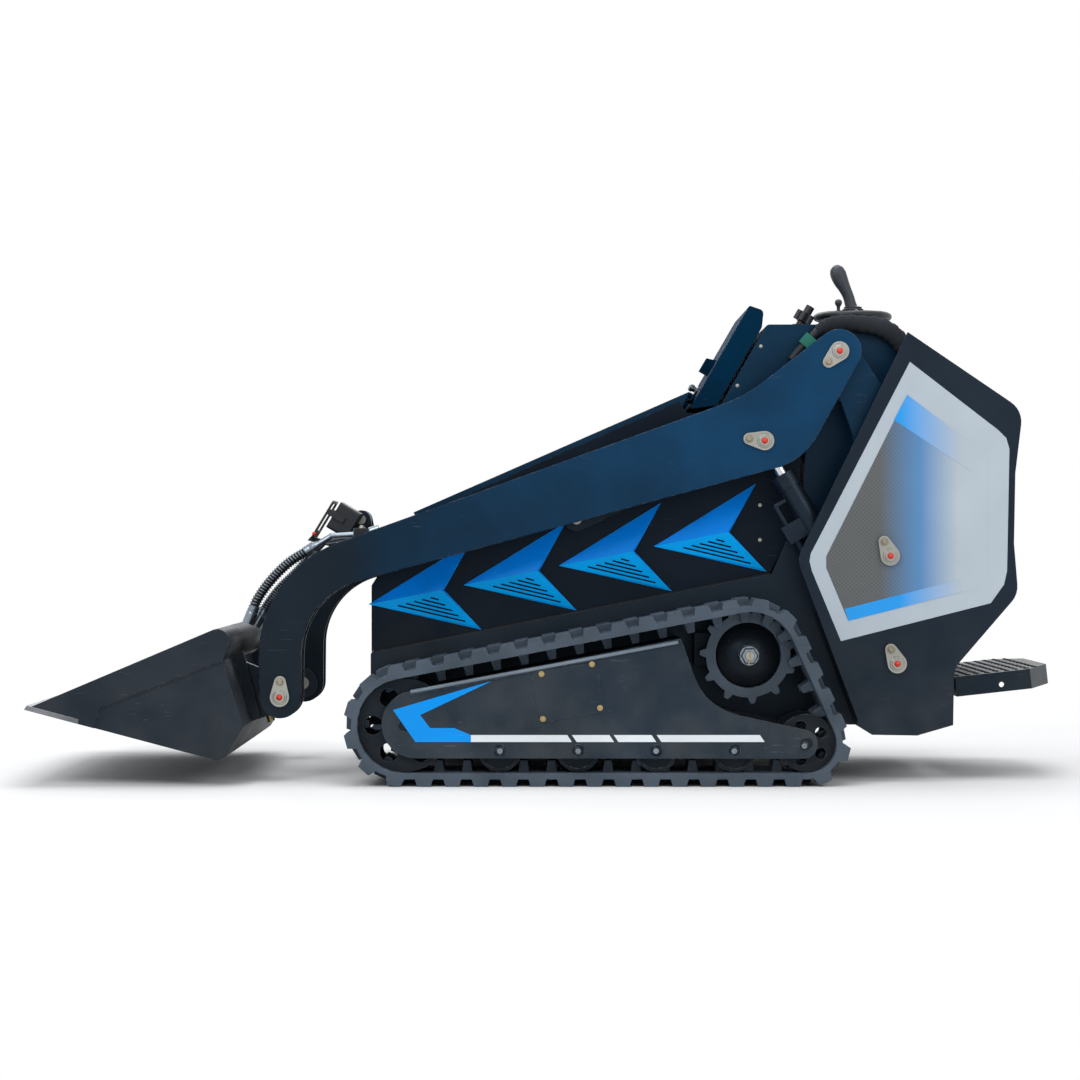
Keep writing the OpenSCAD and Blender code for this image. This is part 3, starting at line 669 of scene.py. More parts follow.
# The frame lip's light colour is a painted highlight on the flange's top edge
LIP_HIGHLIGHT = replace(
    FRAME_PAINT, name="frame_lip_painted_highlight", colour=(0.15, 0.18, 0.215), roughness=0.26, specular=0.8
)
ZINC = Finish(
    "zinc_plate", "zinc", (0.34, 0.34, 0.315), 0.32, metallic=1.0, grain=Grain.DRAWN, relief=0.08,
    tone=0.2, dust=0.05, scratch=0.1, edge=0.001
)
TUBE = Finish(
    "plated_tube", "zinc", (0.25, 0.30, 0.35), 0.30, metallic=0.9, grain=Grain.DRAWN, relief=0.05,
    tone=0.25, dust=0.05, scratch=0.1, edge=0.001
)
SPRING = replace(TUBE, name="spring_wire", colour=(0.20, 0.24, 0.28))
BOLT = replace(TUBE, name="dull_bolt", colour=(0.30, 0.27, 0.21))
YELLOW_ZINC = Finish(
    "yellow_zinc_bolts", "brass_zinc", (0.44, 0.33, 0.15), 0.36, metallic=0.9, grain=Grain.DRAWN,
    relief=0.05, dust=0.05, edge=0.0006
)
CHROME = Finish(
    "polished_rod", "chrome_rod", (0.62, 0.64, 0.66), 0.12, metallic=1.0, grain=Grain.DRAWN, relief=0.02,
    dust=0.0
)
PLASTIC = Finish(
    "black_moulding", "black_plastic", (0.009, 0.012, 0.017), 0.40, grain=Grain.MOULDED,
    grain_scale=900.0, relief=0.2, dust=0.03, specular=0.35
)
GRIP = Finish(
    "soft_grip_rubber", "black_plastic", (0.030, 0.038, 0.050), 0.48, grain=Grain.RUBBER,
    grain_scale=700.0, relief=0.15, dust=0.0, scratch=0.0, specular=0.4
)
HOSE = Finish(
    "hose_cover", "hose_rubber", (0.009, 0.012, 0.017), 0.5, grain=Grain.RUBBER, grain_scale=500.0,
    relief=0.2, dust=0.03, scratch=0.0, specular=0.28
)
SLEEVE = Finish(
    "woven_hose_sleeve", "hose_rubber", (0.026, 0.031, 0.038), 0.85, grain=Grain.WOVEN, grain_scale=160.0,
    relief=0.6, tone=0.5, dust=0.05, scratch=0.0, specular=0.15
)
GREEN = Finish(
    "green_clip", "clamp_green", (0.0, 0.16, 0.11), 0.4, grain=Grain.MOULDED, relief=0.2, dust=0.0
)
RED = Finish(
    "red_grease_cap", "black_plastic", (0.62, 0.03, 0.01), 0.35, grain=Grain.MOULDED, relief=0.1, dust=0.0
)
VINYL = Finish(
    "pad_cover", "pad_vinyl", (0.018, 0.020, 0.024), 0.5, grain=Grain.RUBBER, grain_scale=420.0,
    relief=0.35, dust=0.03, scratch=0.0, specular=0.4
)
WORN = Finish(
    "worn_edge_steel", "worn_steel", (0.20, 0.21, 0.23), 0.36, metallic=0.85, grain=Grain.DRAWN,
    relief=0.2, tone=0.5, scratch=0.6, dust=0.3, wear_and_highlight=0.5, wear_and_highlight_colour=(0.5, 0.5, 0.5)
)
BEAD = Finish(
    "painted_weld", "charcoal_paint", (0.016, 0.021, 0.030), 0.5, grain=Grain.CAST, grain_scale=300.0,
    relief=0.3, dust=0.1, specular=0.34
)
SILVER = Finish("silver_sheet", "black_paint", (0.42, 0.485, 0.545), 0.38, dust=0.03, **SHEET)
FADE = FadeFinish("fade_sheet", "black_paint", SILVER.colour, 0.38, dust=0.03, **SHEET)
FADE_BLUE = FadeFinish(
    "fade_blue_sheet", "grille_blue", SILVER.colour, 0.38, dust=0.03, blue=(0.0, 0.30, 0.80),
    middle_x=-0.90, end_x=-1.06, flat_blue=True, **SHEET
)
STRIPE_WHITE = Finish("white_stripe", "black_paint", (0.76, 0.82, 0.86), 0.4, dust=0.15, **SHEET)
STRIPE_BLUE = Finish(
    "blue_stripe", "grille_blue", (0.0, 0.29, 0.86), 0.4, dust=0.08, specular=0.25, sheen=(0.4, 0.8, 1.0),
    **SHEET
)
LENS = GlassFinish("lamp_lens", "black_plastic", (0.85, 0.9, 0.92), 0.08)

# The finish of each node of the frame
NODE_FINISHES: dict[str, Finish] = {name: finish for finish, names in (
    (BLACK, "chassis_frame side_plate_left side_plate_right front_panel cross_tube "
     "control_links lift_barrels attach_plate tilt_barrel platform"),
    (SHADED_PANEL_PAINT, "side_panel_left side_panel_right"),
    (BLUE, "grilles_left grilles_right"),
    (STEEL, "engine_block sprockets"),
    (GUARD_PAINT, "guard"),
    (NAVY, "console rear_links hood"),
    (VINYL, "hip_pad"),
    (PLASTIC, "control_disc filler_cap work_lamp"),
    (GRIP, "joystick"),
    (SLEEVE, "hose_sleeve"),
    (GREEN, "hose_clamp"),
    (ZINC, "frame_pins arm_pins"),
    (RUBBER, "track_left track_right"),
    (FRAME_PAINT, "track_frame_left track_frame_right"),
    (IDLER_PAINT, "track_rollers front_idlers rear_idlers drive_hubs"),
    (ARM_PAINT_AND_SHADE, "arm_left arm_right"),
    (TUBE, "arm_lines"),
    (HOSE, "guarded_hoses"),
    (CHROME, "lift_rods tilt_rod"),
    (CHARCOAL, "bucket"),
    (WORN, "cutting_edge"),
    (YELLOW_ZINC, "lock_pins"),
) for name in names.split()}


def closed_mesh(bm: Work, name: str, smooth: float) -> Mesh:
    """Turns a working mesh into a finished one with outward faces.

    Args:
        bm: The working mesh, freed here.
        name: The mesh's name.
        smooth: Edges sharper than this angle in degrees stay sharp.

    Returns:
        The mesh.
    """
    bmesh.ops.remove_doubles(bm, verts=bm.verts[:], dist=MERGE)
    bmesh.ops.recalc_face_normals(bm, faces=bm.faces[:])
    mesh = bpy.data.meshes.new(name)
    bm.to_mesh(mesh)
    bm.free()
    mesh.polygons.foreach_set("use_smooth", [True] * len(mesh.polygons))
    mesh.set_sharp_from_angle(angle=math.radians(smooth))
    return mesh


def new_piece(name: str, mesh: Mesh, finish: Finish, body: str) -> Piece:
    """Links a mesh as a piece that rides on a body.

    Args:
        name: The piece's name.
        mesh: Its mesh, in place.
        finish: Its finish.
        body: The body that carries it.

    Returns:
        The piece.
    """
    piece = link(name, mesh)
    mesh.materials.clear()
    mesh.materials.append(finish.material())
    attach(piece, body)
    log.info("%s on %s", name, body)
    return piece


def shape_piece(name: str, bm: Work, finish: Finish, body: str, smooth: float = 35.0) -> Piece:
    """Closes a working mesh and links it as a piece.

    Args:
        name: The piece's name.
        bm: The working mesh, freed here.
        finish: Its finish.
        body: The body that carries it.
        smooth: Edges sharper than this angle in degrees stay sharp.

    Returns:
        The piece.
    """
    return new_piece(name, closed_mesh(bm, name, smooth), finish, body)


def disc_outline(discs: list[Point], step: float = 3.0) -> list[Flat]:
    """Gives the outline of a band round discs, anticlockwise in the side view.

    Args:
        discs: Rows of X, Z and radius. A negative radius bends the outline inward.
        step: Largest turn between two points in degrees.

    Returns:
        The outline's points.
    """
    joins = []
    for p, q in zip(discs, discs[1:] + discs[:1]):
        way = math.atan2(q[1] - p[1], q[0] - p[0])
        joins.append(way - math.acos((p[2] - q[2]) / math.dist(p[:2], q[:2])))
    points = []
    for i, (x, z, r) in enumerate(discs):
        start, end = joins[i - 1], joins[i]
        turn = -((start - end) % WHOLE_TURN) if r < 0 else (end - start) % WHOLE_TURN
        count = max(1, math.ceil(abs(turn) / math.radians(step)))
        for k in range(count + 1):
            a = start + turn * k / count
            points.append((x + r * math.cos(a), z + r * math.sin(a)))
    return points


def corner_discs(outline: list[Flat], rounds: list[float]) -> list[Point]:
    """Gives the discs that round the corners of an outline, for disc_outline.

    Args:
        outline: Corners of a shape with no hollow, anticlockwise in the side view.
        rounds: The radius at each corner.

    Returns:
        Rows of X, Z and radius.
    """
    discs = []
    for i, (corner, size) in enumerate(zip(outline, rounds)):
        here = Vector(corner)
        ways = [(Vector(outline[k % len(outline)]) - here).normalized() for k in (i - 1, i + 1)]
        middle = here + (ways[0] + ways[1]).normalized() * size / math.sin(ways[0].angle(ways[1]) / 2)
        discs.append((middle.x, middle.y, size))
    return discs


def cut_behind(outline: list[Flat], rear: float) -> list[Flat]:
    """Cuts away the part of an outline that lies behind a place along the machine.

    Args:
        outline: The outline's points.
        rear: The place of the cut.

    Returns:
        The points that are left.
    """
    kept = []
    for (x0, z0), (x1, z1) in zip(outline, outline[1:] + outline[:1]):
        if x0 > rear:
            kept.append((x0, z0))
        if (x0 > rear) != (x1 > rear):
            kept.append((rear, z0 + (z1 - z0) * (rear - x0) / (x1 - x0)))
    return kept


def add_plate(bm: Work, outline: list[Flat], y0: float, y1: float) -> None:
    """Adds a closed plate.

    Args:
        bm: The working mesh.
        outline: The plate's points in the side view.
        y0: One face.
        y1: The other face.
    """
    face = bm.faces.new([bm.verts.new((x, y0, z)) for x, z in outline])
    grown = bmesh.ops.extrude_face_region(bm, geom=[face])
    moved = [v for v in grown["geom"] if isinstance(v, bmesh.types.BMVert)]
    bmesh.ops.translate(bm, verts=moved, vec=(0.0, y1 - y0, 0.0))


def add_box(bm: Work, low: Vector, high: Vector, edge: float, segments: int) -> None:
    """Adds a block with rounded edges.

    Args:
        bm: The working mesh, empty so far.
        low: Its lowest corner.
        high: Its highest corner.
        edge: How far the rounding reaches.
        segments: Faces across the rounding.
    """
    place = Matrix.Translation((low + high) / 2) @ Matrix.Diagonal((*(high - low), 1.0))
    bmesh.ops.create_cube(bm, size=1.0, matrix=place)
    bmesh.ops.bevel(bm, geom=bm.edges[:], offset=edge, segments=segments, affect="EDGES")


def add_lathe(bm: Work, profile: list[Flat], origin: Point, axis: Point, sides: int = 40) -> None:
    """Adds a turned shape.

    Args:
        bm: The working mesh.
        profile: Rows of radius and height along the axis. A radius of 0 closes an end.
        origin: Where height 0 lies.
        axis: The way the height runs.
        sides: Faces round the shape.
    """
    turn = Vector(axis).to_track_quat("Z", "Y").to_matrix()
    rings = []
    for radius, height in profile:
        angles = [WHOLE_TURN * i / sides for i in range(sides)] if radius else [0.0]
        spots = [Vector((radius * math.cos(a), radius * math.sin(a), height)) for a in angles]
        rings.append([bm.verts.new(Vector(origin) + turn @ spot) for spot in spots])
    for low, high in zip(rings, rings[1:]):
        for i in range(sides):
            corners = [ring[k % len(ring)] for ring, k in ((low, i), (low, i + 1), (high, i + 1), (high, i))]
            bm.faces.new(list(dict.fromkeys(corners)))


def smooth_path(points: list[Point], steps: int = 8) -> list[Vector]:
    """Gives a smooth line through points.

    Args:
        points: The points it passes.
        steps: Pieces between two points.

    Returns:
        The points of the line.
    """
    knots = [Vector(p) for p in points]
    ends = [2 * knots[0] - knots[1], *knots, 2 * knots[-1] - knots[-2]]
    line = []
    for a, b, c, d in zip(ends, ends[1:], ends[2:], ends[3:]):
        for i in range(steps):
            t = i / steps
            square = (2 * a - 5 * b + 4 * c - d) * t**2
            cube = (3 * b - a - 3 * c + d) * t**3
            line.append((2 * b + (c - a) * t + square + cube) / 2)
    return [*line, knots[-1]]


def add_sweep(bm: Work, line: list[Vector], radii: list[Flat] | float, sides: int = 20) -> None:
    """Adds a closed tube along a line.

    Args:
        bm: The working mesh.
        line: The middle line.
        radii: For each point, the radius in the side view's plane and the one across it, or one for all.
        sides: Faces round the tube.
    """
    if isinstance(radii, float):
        radii = [(radii, radii)] * len(line)
    rings = []
    across = Vector((0.0, 1.0, 0.0))
    for i, spot in enumerate(line):
        way = (line[min(i + 1, len(line) - 1)] - line[max(i - 1, 0)]).normalized()
        side = (across - way * across.dot(way)).normalized()
        flat = side.cross(way)
        ring = []
        for k in range(sides):
            a = WHOLE_TURN * k / sides
            offset = flat * radii[i][0] * math.cos(a) + side * radii[i][1] * math.sin(a)
            ring.append(bm.verts.new(spot + offset))
        rings.append(ring)
    for low, high in zip(rings, rings[1:]):
        for k in range(sides):
            bm.faces.new([low[k], low[(k + 1) % sides], high[(k + 1) % sides], high[k]])
    bm.faces.new(rings[0])
    bm.faces.new(rings[-1])


class NodeShapes:
    """Geometry Nodes trees for what repeats or winds along a path.

    DRUMS gives, for each drum of a fitting, its sides, then its radii at base and top as shares of the
    fitting's radius, then its depth and lift as shares of the fitting's height. The second drum of the
    socket bolt is cut from the first, and BAR_SHAPE flattens the drum of the tread bar.
    """

    DRUMS = {
        Fitting.HEX_BOLT: [(24, 1.45, 1.4, 0.2, 0.0), (6, 1.0, 1.0, 0.62, 0.18), (6, 1.0, 0.82, 0.2, 0.8)],
        Fitting.HEX_NUT: [(24, 1.1, 1.06, 0.15, 0.0), (6, 1.0, 1.0, 0.65, 0.15), (6, 1.0, 0.82, 0.2, 0.8)],
        Fitting.GREASE_CAP: [
            (20, 1.0, 0.95, 0.4, 0.0), (20, 0.95, 0.62, 0.4, 0.4), (20, 0.62, 0.1, 0.2, 0.8)
        ],
        Fitting.PIN_RING: [(32, 1.0, 0.94, 0.6, 0.0), (32, 0.78, 0.7, 0.4, 0.6)],
        Fitting.SOCKET_BOLT: [(24, 1.0, 0.92, 1.0, 0.0), (6, 0.62, 0.62, 0.85, 0.3)],
        Fitting.TREAD_BAR: [(4, 1.0, 0.55, 1.0, 0.0)],
    }
    BAR_SHAPE = (1.0, 0.3, 1.0)
    STEPS_PER_TURN = 14.0
    WIRE_SIDES = 6

    @staticmethod
    def _open(name: str, sizes: list[str]) -> tuple[Wiring, Node]:
        """Starts a tree with a Geometry input, named sizes and a Finish.

        Args:
            name: The tree's name.
            sizes: Names of its sizes.

        Returns:
            The tree's wiring and its group input node.
        """
        tree = bpy.data.node_groups.new(name, "GeometryNodeTree")
        tree.interface.new_socket("Geometry", in_out="INPUT", socket_type="NodeSocketGeometry")
        for label in sizes:
            tree.interface.new_socket(label, in_out="INPUT", socket_type="NodeSocketFloat")
        tree.interface.new_socket("Finish", in_out="INPUT", socket_type="NodeSocketMaterial")
        tree.interface.new_socket("Geometry", in_out="OUTPUT", socket_type="NodeSocketGeometry")
        wiring = Wiring(tree)
        return wiring, wiring.add("NodeGroupInput")

    @staticmethod
    def _close(w: Wiring, given: Node, shape: Socket) -> Tree:
        """Realizes a tree's shape and sets its finish.

        Args:
            w: The tree's wiring.
            given: Its group input node.
            shape: The shape's socket.

        Returns:
            The tree.
        """
        real = w.add("GeometryNodeRealizeInstances", Geometry=shape).outputs[0]
        dressed = w.add("GeometryNodeSetMaterial", Geometry=real, Material=given.outputs["Finish"])
        w.put(w.add("NodeGroupOutput").inputs["Geometry"], dressed.outputs[0])
        return w.tree

    @staticmethod
    def _drum(w: Wiring, sides: int, low: object, high: object, depth: object, lift: object) -> Socket:
        """Adds a drum or cone that stands on its base, lifted along its axis.

        Args:
            w: The tree's wiring.
            sides: Faces round it.
            low: Radius at the base.
            high: Radius at the top.
            depth: Its height.
            lift: Height of its base.

        Returns:
            The drum's mesh.
        """
        cone = w.add("GeometryNodeMeshCone", Vertices=sides, Radius_Bottom=low, Radius_Top=high)
        w.put(cone.inputs["Depth"], depth)
        raised = w.add("ShaderNodeCombineXYZ", Z=lift).outputs[0]
        return w.add("GeometryNodeTransform", Geometry=cone.outputs[0], Translation=raised).outputs[0]

    @classmethod
    @cache
    def field(cls, fitting: Fitting) -> Tree:
        """Gives the tree that sets one fitting on each point, along the point's facing.

        Args:
            fitting: The shape to set.

        Returns:
            The tree, with the sizes Radius and Height.
        """
        w, given = cls._open(fitting.value, ["Radius", "Height"])
        radius, height = given.outputs["Radius"], given.outputs["Height"]

        def part(sides: int, low: float, high: float, deep: float, lift: float) -> Socket:
            """Adds a drum whose sizes are shares of the fitting's radius and height."""
            shares = ((radius, low), (radius, high), (height, deep), (height, lift))
            return cls._drum(w, sides, *(w.maths("MULTIPLY", size, share) for size, share in shares))

        parts = [part(*drum) for drum in cls.DRUMS[fitting]]
        if fitting is Fitting.SOCKET_BOLT:
            head = w.add("GeometryNodeMeshBoolean", operation="DIFFERENCE")
            for label, shape in zip(("Mesh 1", "Mesh 2"), parts):
                w.put(head.inputs[label], shape)
            parts = [head.outputs[0]]
        elif fitting is Fitting.TREAD_BAR:
            parts = [w.add("GeometryNodeTransform", Geometry=parts[0], Scale=cls.BAR_SHAPE).outputs[0]]
        joined = w.add("GeometryNodeJoinGeometry")
        for shape in parts:
            w.tree.links.new(shape, joined.inputs[0])
        facing, spin = (
            w.add("GeometryNodeInputNamedAttribute", data_type=kind, Name=name).outputs[0]
            for name, kind in (("facing", "FLOAT_VECTOR"), ("spin", "FLOAT"))
        )
        aimed = w.add("FunctionNodeAlignRotationToVector", axis="Z", Vector=facing).outputs[0]
        own = w.add("ShaderNodeCombineXYZ", Z=spin).outputs[0]
        turned = w.add("FunctionNodeRotateRotation", rotation_space="LOCAL", Rotation=aimed, Rotate_By=own)
        placed = w.add("GeometryNodeInstanceOnPoints", Points=given.outputs["Geometry"])
        w.put(placed.inputs["Instance"], joined.outputs[0])
        w.put(placed.inputs["Rotation"], turned.outputs[0])
        return cls._close(w, given, placed.outputs[0])

    @classmethod
    @cache
    def winding(cls) -> Tree:
        """Gives the tree that winds a wire round a path.

        Returns:
            The tree, with the sizes Radius, Wire and Turns.
        """
        w, given = cls._open("spring_guard", ["Radius", "Wire", "Turns"])
        path = w.add("GeometryNodeMeshToCurve", Mesh=given.outputs["Geometry"]).outputs[0]
        count = w.maths("MULTIPLY", given.outputs["Turns"], cls.STEPS_PER_TURN)
        fine = w.add("GeometryNodeResampleCurve", Curve=path, Count=count).outputs[0]
        share = w.add("GeometryNodeSplineParameter").outputs["Factor"]
        angle = w.maths("MULTIPLY", w.maths("MULTIPLY", share, given.outputs["Turns"]), WHOLE_TURN)
        normal = w.add("GeometryNodeInputNormal").outputs[0]
        tangent = w.add("GeometryNodeInputTangent").outputs[0]
        cross = w.vectors("CROSS_PRODUCT", tangent, normal).outputs[0]
        swings = []
        for way, turn in ((normal, "COSINE"), (cross, "SINE")):
            swing = w.vectors("SCALE", way)
            w.put(swing.inputs["Scale"], w.maths("MULTIPLY", w.maths(turn, angle), given.outputs["Radius"]))
            swings.append(swing.outputs[0])
        total = w.vectors("ADD", *swings).outputs[0]
        wound = w.add("GeometryNodeSetPosition", Geometry=fine, Offset=total).outputs[0]
        wire = w.add("GeometryNodeCurvePrimitiveCircle", Resolution=cls.WIRE_SIDES)
        w.put(wire.inputs["Radius"], given.outputs["Wire"])
        tube = w.add("GeometryNodeCurveToMesh", Curve=wound, Profile_Curve=wire.outputs[0], Fill_Caps=True)
        smooth = w.add("GeometryNodeSetShadeSmooth", Geometry=tube.outputs[0])
        return cls._close(w, given, smooth.outputs[0])

    @staticmethod
    def bake(
        name: str, base: Mesh, tree: Tree, sizes: dict[str, float], finish: Finish, body: str
    ) -> Piece:
        """Runs a tree on a base mesh and keeps the result as a plain piece.

        Args:
            name: The piece's name.
            base: Points or a path for the tree.
            tree: The Geometry Nodes tree.
            sizes: Values of its named sizes.
            finish: The finish of the result.
            body: The body that carries it.

        Returns:
            The piece.
        """
        maker = link(name + "_maker", base)
        modifier = maker.modifiers.new("shape", "NODES")
        modifier.node_group = tree
        for item in tree.interface.items_tree:
            if item.in_out == "INPUT" and item.name in sizes:
                modifier[item.identifier] = sizes[item.name]
            elif item.in_out == "INPUT" and item.name == "Finish":
                modifier[item.identifier] = finish.material()
        mesh = evaluated_mesh(maker)
        mesh.name = name
        bpy.data.objects.remove(maker)
        return new_piece(name, mesh, finish, body)


@dataclass
class Spot:
    """A place on a surface: its point, the way it faces and a turn about that way."""

    at: Point
    facing: Point
    spin: float = 0.0


def both_sides(points: list[Flat], y: float, turn: float = 0.0) -> list[Spot]:
    """Gives spots on the outer faces of both sides.

    Args:
        points: Their places in the side view.
        y: How far out the faces lie.
        turn: How much more each next spot is turned.

    Returns:
        The spots, the left side's first.
    """
    return [Spot((x, s * y, z), (0.0, s, 0.0), turn * i) for s in SIDES for i, (x, z) in enumerate(points)]


def set_fittings(
    name: str, fitting: Fitting, spots: list[Spot], size: Flat, finish: Finish, body: str
) -> Piece:
    """Sets one fitting on each spot as a single piece.

    Args:
        name: The piece's name.
        fitting: The shape to set.
        spots: Where it goes.
        size: The fitting's radius and height.
        finish: Its finish.
        body: The body that carries it.

    Returns:
        The piece.
    """
    base = bpy.data.meshes.new(name + "_points")
    base.from_pydata([spot.at for spot in spots], [], [])
    base.attributes.new("facing", "FLOAT_VECTOR", "POINT")
    base.attributes.new("spin", "FLOAT", "POINT")
    base.attributes["facing"].data.foreach_set("vector", [c for spot in spots for c in spot.facing])
    base.attributes["spin"].data.foreach_set("value", [spot.spin for spot in spots])
    sizes = dict(zip(("Radius", "Height"), size))
    return NodeShapes.bake(name, base, NodeShapes.field(fitting), sizes, finish, body)


@dataclass
class Studio:
    """The pale floor, the soft light and the camera."""

    camera_at: Point = (0.028, 6.93, 0.625)
    camera_turn: Point = (90.0, 0.0, 180.0)
    lens: float = 84.3
    floor_radius: float = 60.0
    floor_colour: Colour = (0.86, 0.87, 0.88)
    floor_light: Colour = (0.88, 0.885, 0.89)
    floor_clouds: float = 3.0
    look_at: Point = (0.0, 0.0, 0.5)
    fade_start: float = 1.6
    fade_end: float = 3.6
    world_strength: float = 0.50
    lamps: list[tuple[Point, float, float]] = field(default_factory=lambda: [
        ((2.5, 4.5, 4.2), 2.4, 120.0),
        ((-3.5, 4.0, 3.0), 2.6, 60.0),
        ((0.0, -4.5, 4.0), 4.0, 120.0),
        ((0.0, 0.0, 5.5), 3.5, 130.0),
    ])

    def build(self) -> None:
        """Makes the floor, the lamps, the world and the camera."""
        bpy.context.scene.view_settings.view_transform = "Standard"
        self._floor()
        self._world()
        for i, (at, size, power) in enumerate(self.lamps):
            self._lamp(f"softbox_{i}", at, size, power)
        data = bpy.data.cameras.new("camera")
        data.lens = self.lens
        camera = link("camera", data)
        camera.location = self.camera_at
        camera.rotation_euler = [math.radians(a) for a in self.camera_turn]
        bpy.context.scene.camera = camera

    @staticmethod
    def _seen(w: Wiring) -> Socket:
        """Gives 1 for rays of the camera, of gloss and through glass.

        Args:
            w: The wiring of the floor or the world.

        Returns:
            The value's socket.
        """
        path = w.add("ShaderNodeLightPath").outputs
        shiny = w.maths("MAXIMUM", path["Is Glossy Ray"], path["Is Transmission Ray"])
        return w.maths("MAXIMUM", path["Is Camera Ray"], shiny)

    def _floor(self) -> None:
        """Makes the floor, which fades to white away from the machine."""
        bm = bmesh.new()
        bmesh.ops.create_circle(bm, cap_ends=True, segments=96, radius=self.floor_radius)
        mesh = bpy.data.meshes.new("floor")
        bm.to_mesh(mesh)
        bm.free()
        made, w, vector = new_paint("pale_floor")
        fade = w.mask(w.vectors("LENGTH", vector).outputs["Value"], self.fade_start, self.fade_end)
        clouds = w.noise(vector, self.floor_clouds)
        tone = w.blend(clouds, self.floor_colour, self.floor_light)
        matt = w.add("ShaderNodeBsdfDiffuse", Color=tone).outputs[0]
        white = w.add("ShaderNodeEmission", Color=WHITE, Strength=1.0).outputs[0]
        mixed = w.add("ShaderNodeMixShader", Fac=w.maths("MULTIPLY", fade, self._seen(w)))
        w.put(mixed.inputs[1], matt)
        w.put(mixed.inputs[2], white)
        w.add("ShaderNodeOutputMaterial", Surface=mixed.outputs[0])
        mesh.materials.append(made)
        floor = link("floor", mesh)

    def _world(self) -> None:
        """Lights the room evenly and shows white behind the machine."""
        world = bpy.data.worlds.new("white_room")
        bpy.context.scene.world = world
        world.use_nodes = True
        w = Wiring(world.node_tree)
        w.tree.nodes.clear()
        strength = w.spread(self._seen(w), 0.0, 1.0, self.world_strength, 1.0)
        room = w.add("ShaderNodeBackground", Color=WHITE, Strength=strength)
        w.add("ShaderNodeOutputWorld", Surface=room.outputs[0])

    def _lamp(self, name: str, at: Point, size: float, power: float) -> None:
        """Hangs a square softbox that looks at the machine's middle.

        Args:
            name: The lamp's name.
            at: Its place.
            size: Its side.
            power: Its power in watts.
        """
        data = bpy.data.lights.new(name, "AREA")
        data.size = size
        data.energy = power
        lamp = link(name, data)
        lamp.location = at
        lamp.rotation_euler = (Vector(self.look_at) - Vector(at)).to_track_quat("-Z", "Y").to_euler()


@dataclass
class RearPlates:
    """The printed sheets on the two rear side plates."""

    face_y: float = 0.400
    sheet: float = 0.0005
    outer: list[Flat] = field(default_factory=lambda: [
        (-0.927, 1.085), (-1.155, 0.909), (-1.176, 0.888), (-1.184, 0.860), (-1.178, 0.545), (-1.170, 0.510),
        (-1.136, 0.462), (-0.749, 0.364), (-0.674, 0.545), (-0.668, 0.570), (-0.671, 0.590), (-0.708, 0.661)
    ])
    inner: list[Flat] = field(default_factory=lambda: [
        (-0.920, 1.000), (-1.130, 0.838), (-1.130, 0.530), (-1.100, 0.500), (-0.768, 0.416), (-0.711, 0.553),
        (-0.711, 0.583), (-0.742, 0.645)
    ])
    stripes: list[list[Flat]] = field(default_factory=lambda: [
        [(-0.920, 1.000), (-1.090, 0.869), (-1.090, 0.799), (-0.886, 0.935)],
        [(-0.768, 0.416), (-1.060, 0.490), (-1.060, 0.524), (-0.758, 0.447)],
    ])

    def build(self) -> None:
        """Lays the silver sheet, the fade and the blue stripes on both sides."""
        layers = [
            ("silver", [self.outer], SILVER), ("fade", [self.inner], FADE), ("blue", self.stripes, FADE_BLUE)
        ]
        for side, word in SIDES.items():
            for level, (label, outlines, finish) in enumerate(layers):
                bm = bmesh.new()
                low = self.face_y + SHEET_LIFT + level * self.sheet
                for outline in outlines:
                    add_plate(bm, outline, side * low, side * (low + self.sheet))
                shape_piece(f"plate_sheet_{label}_{word}", bm, finish, "chassis")


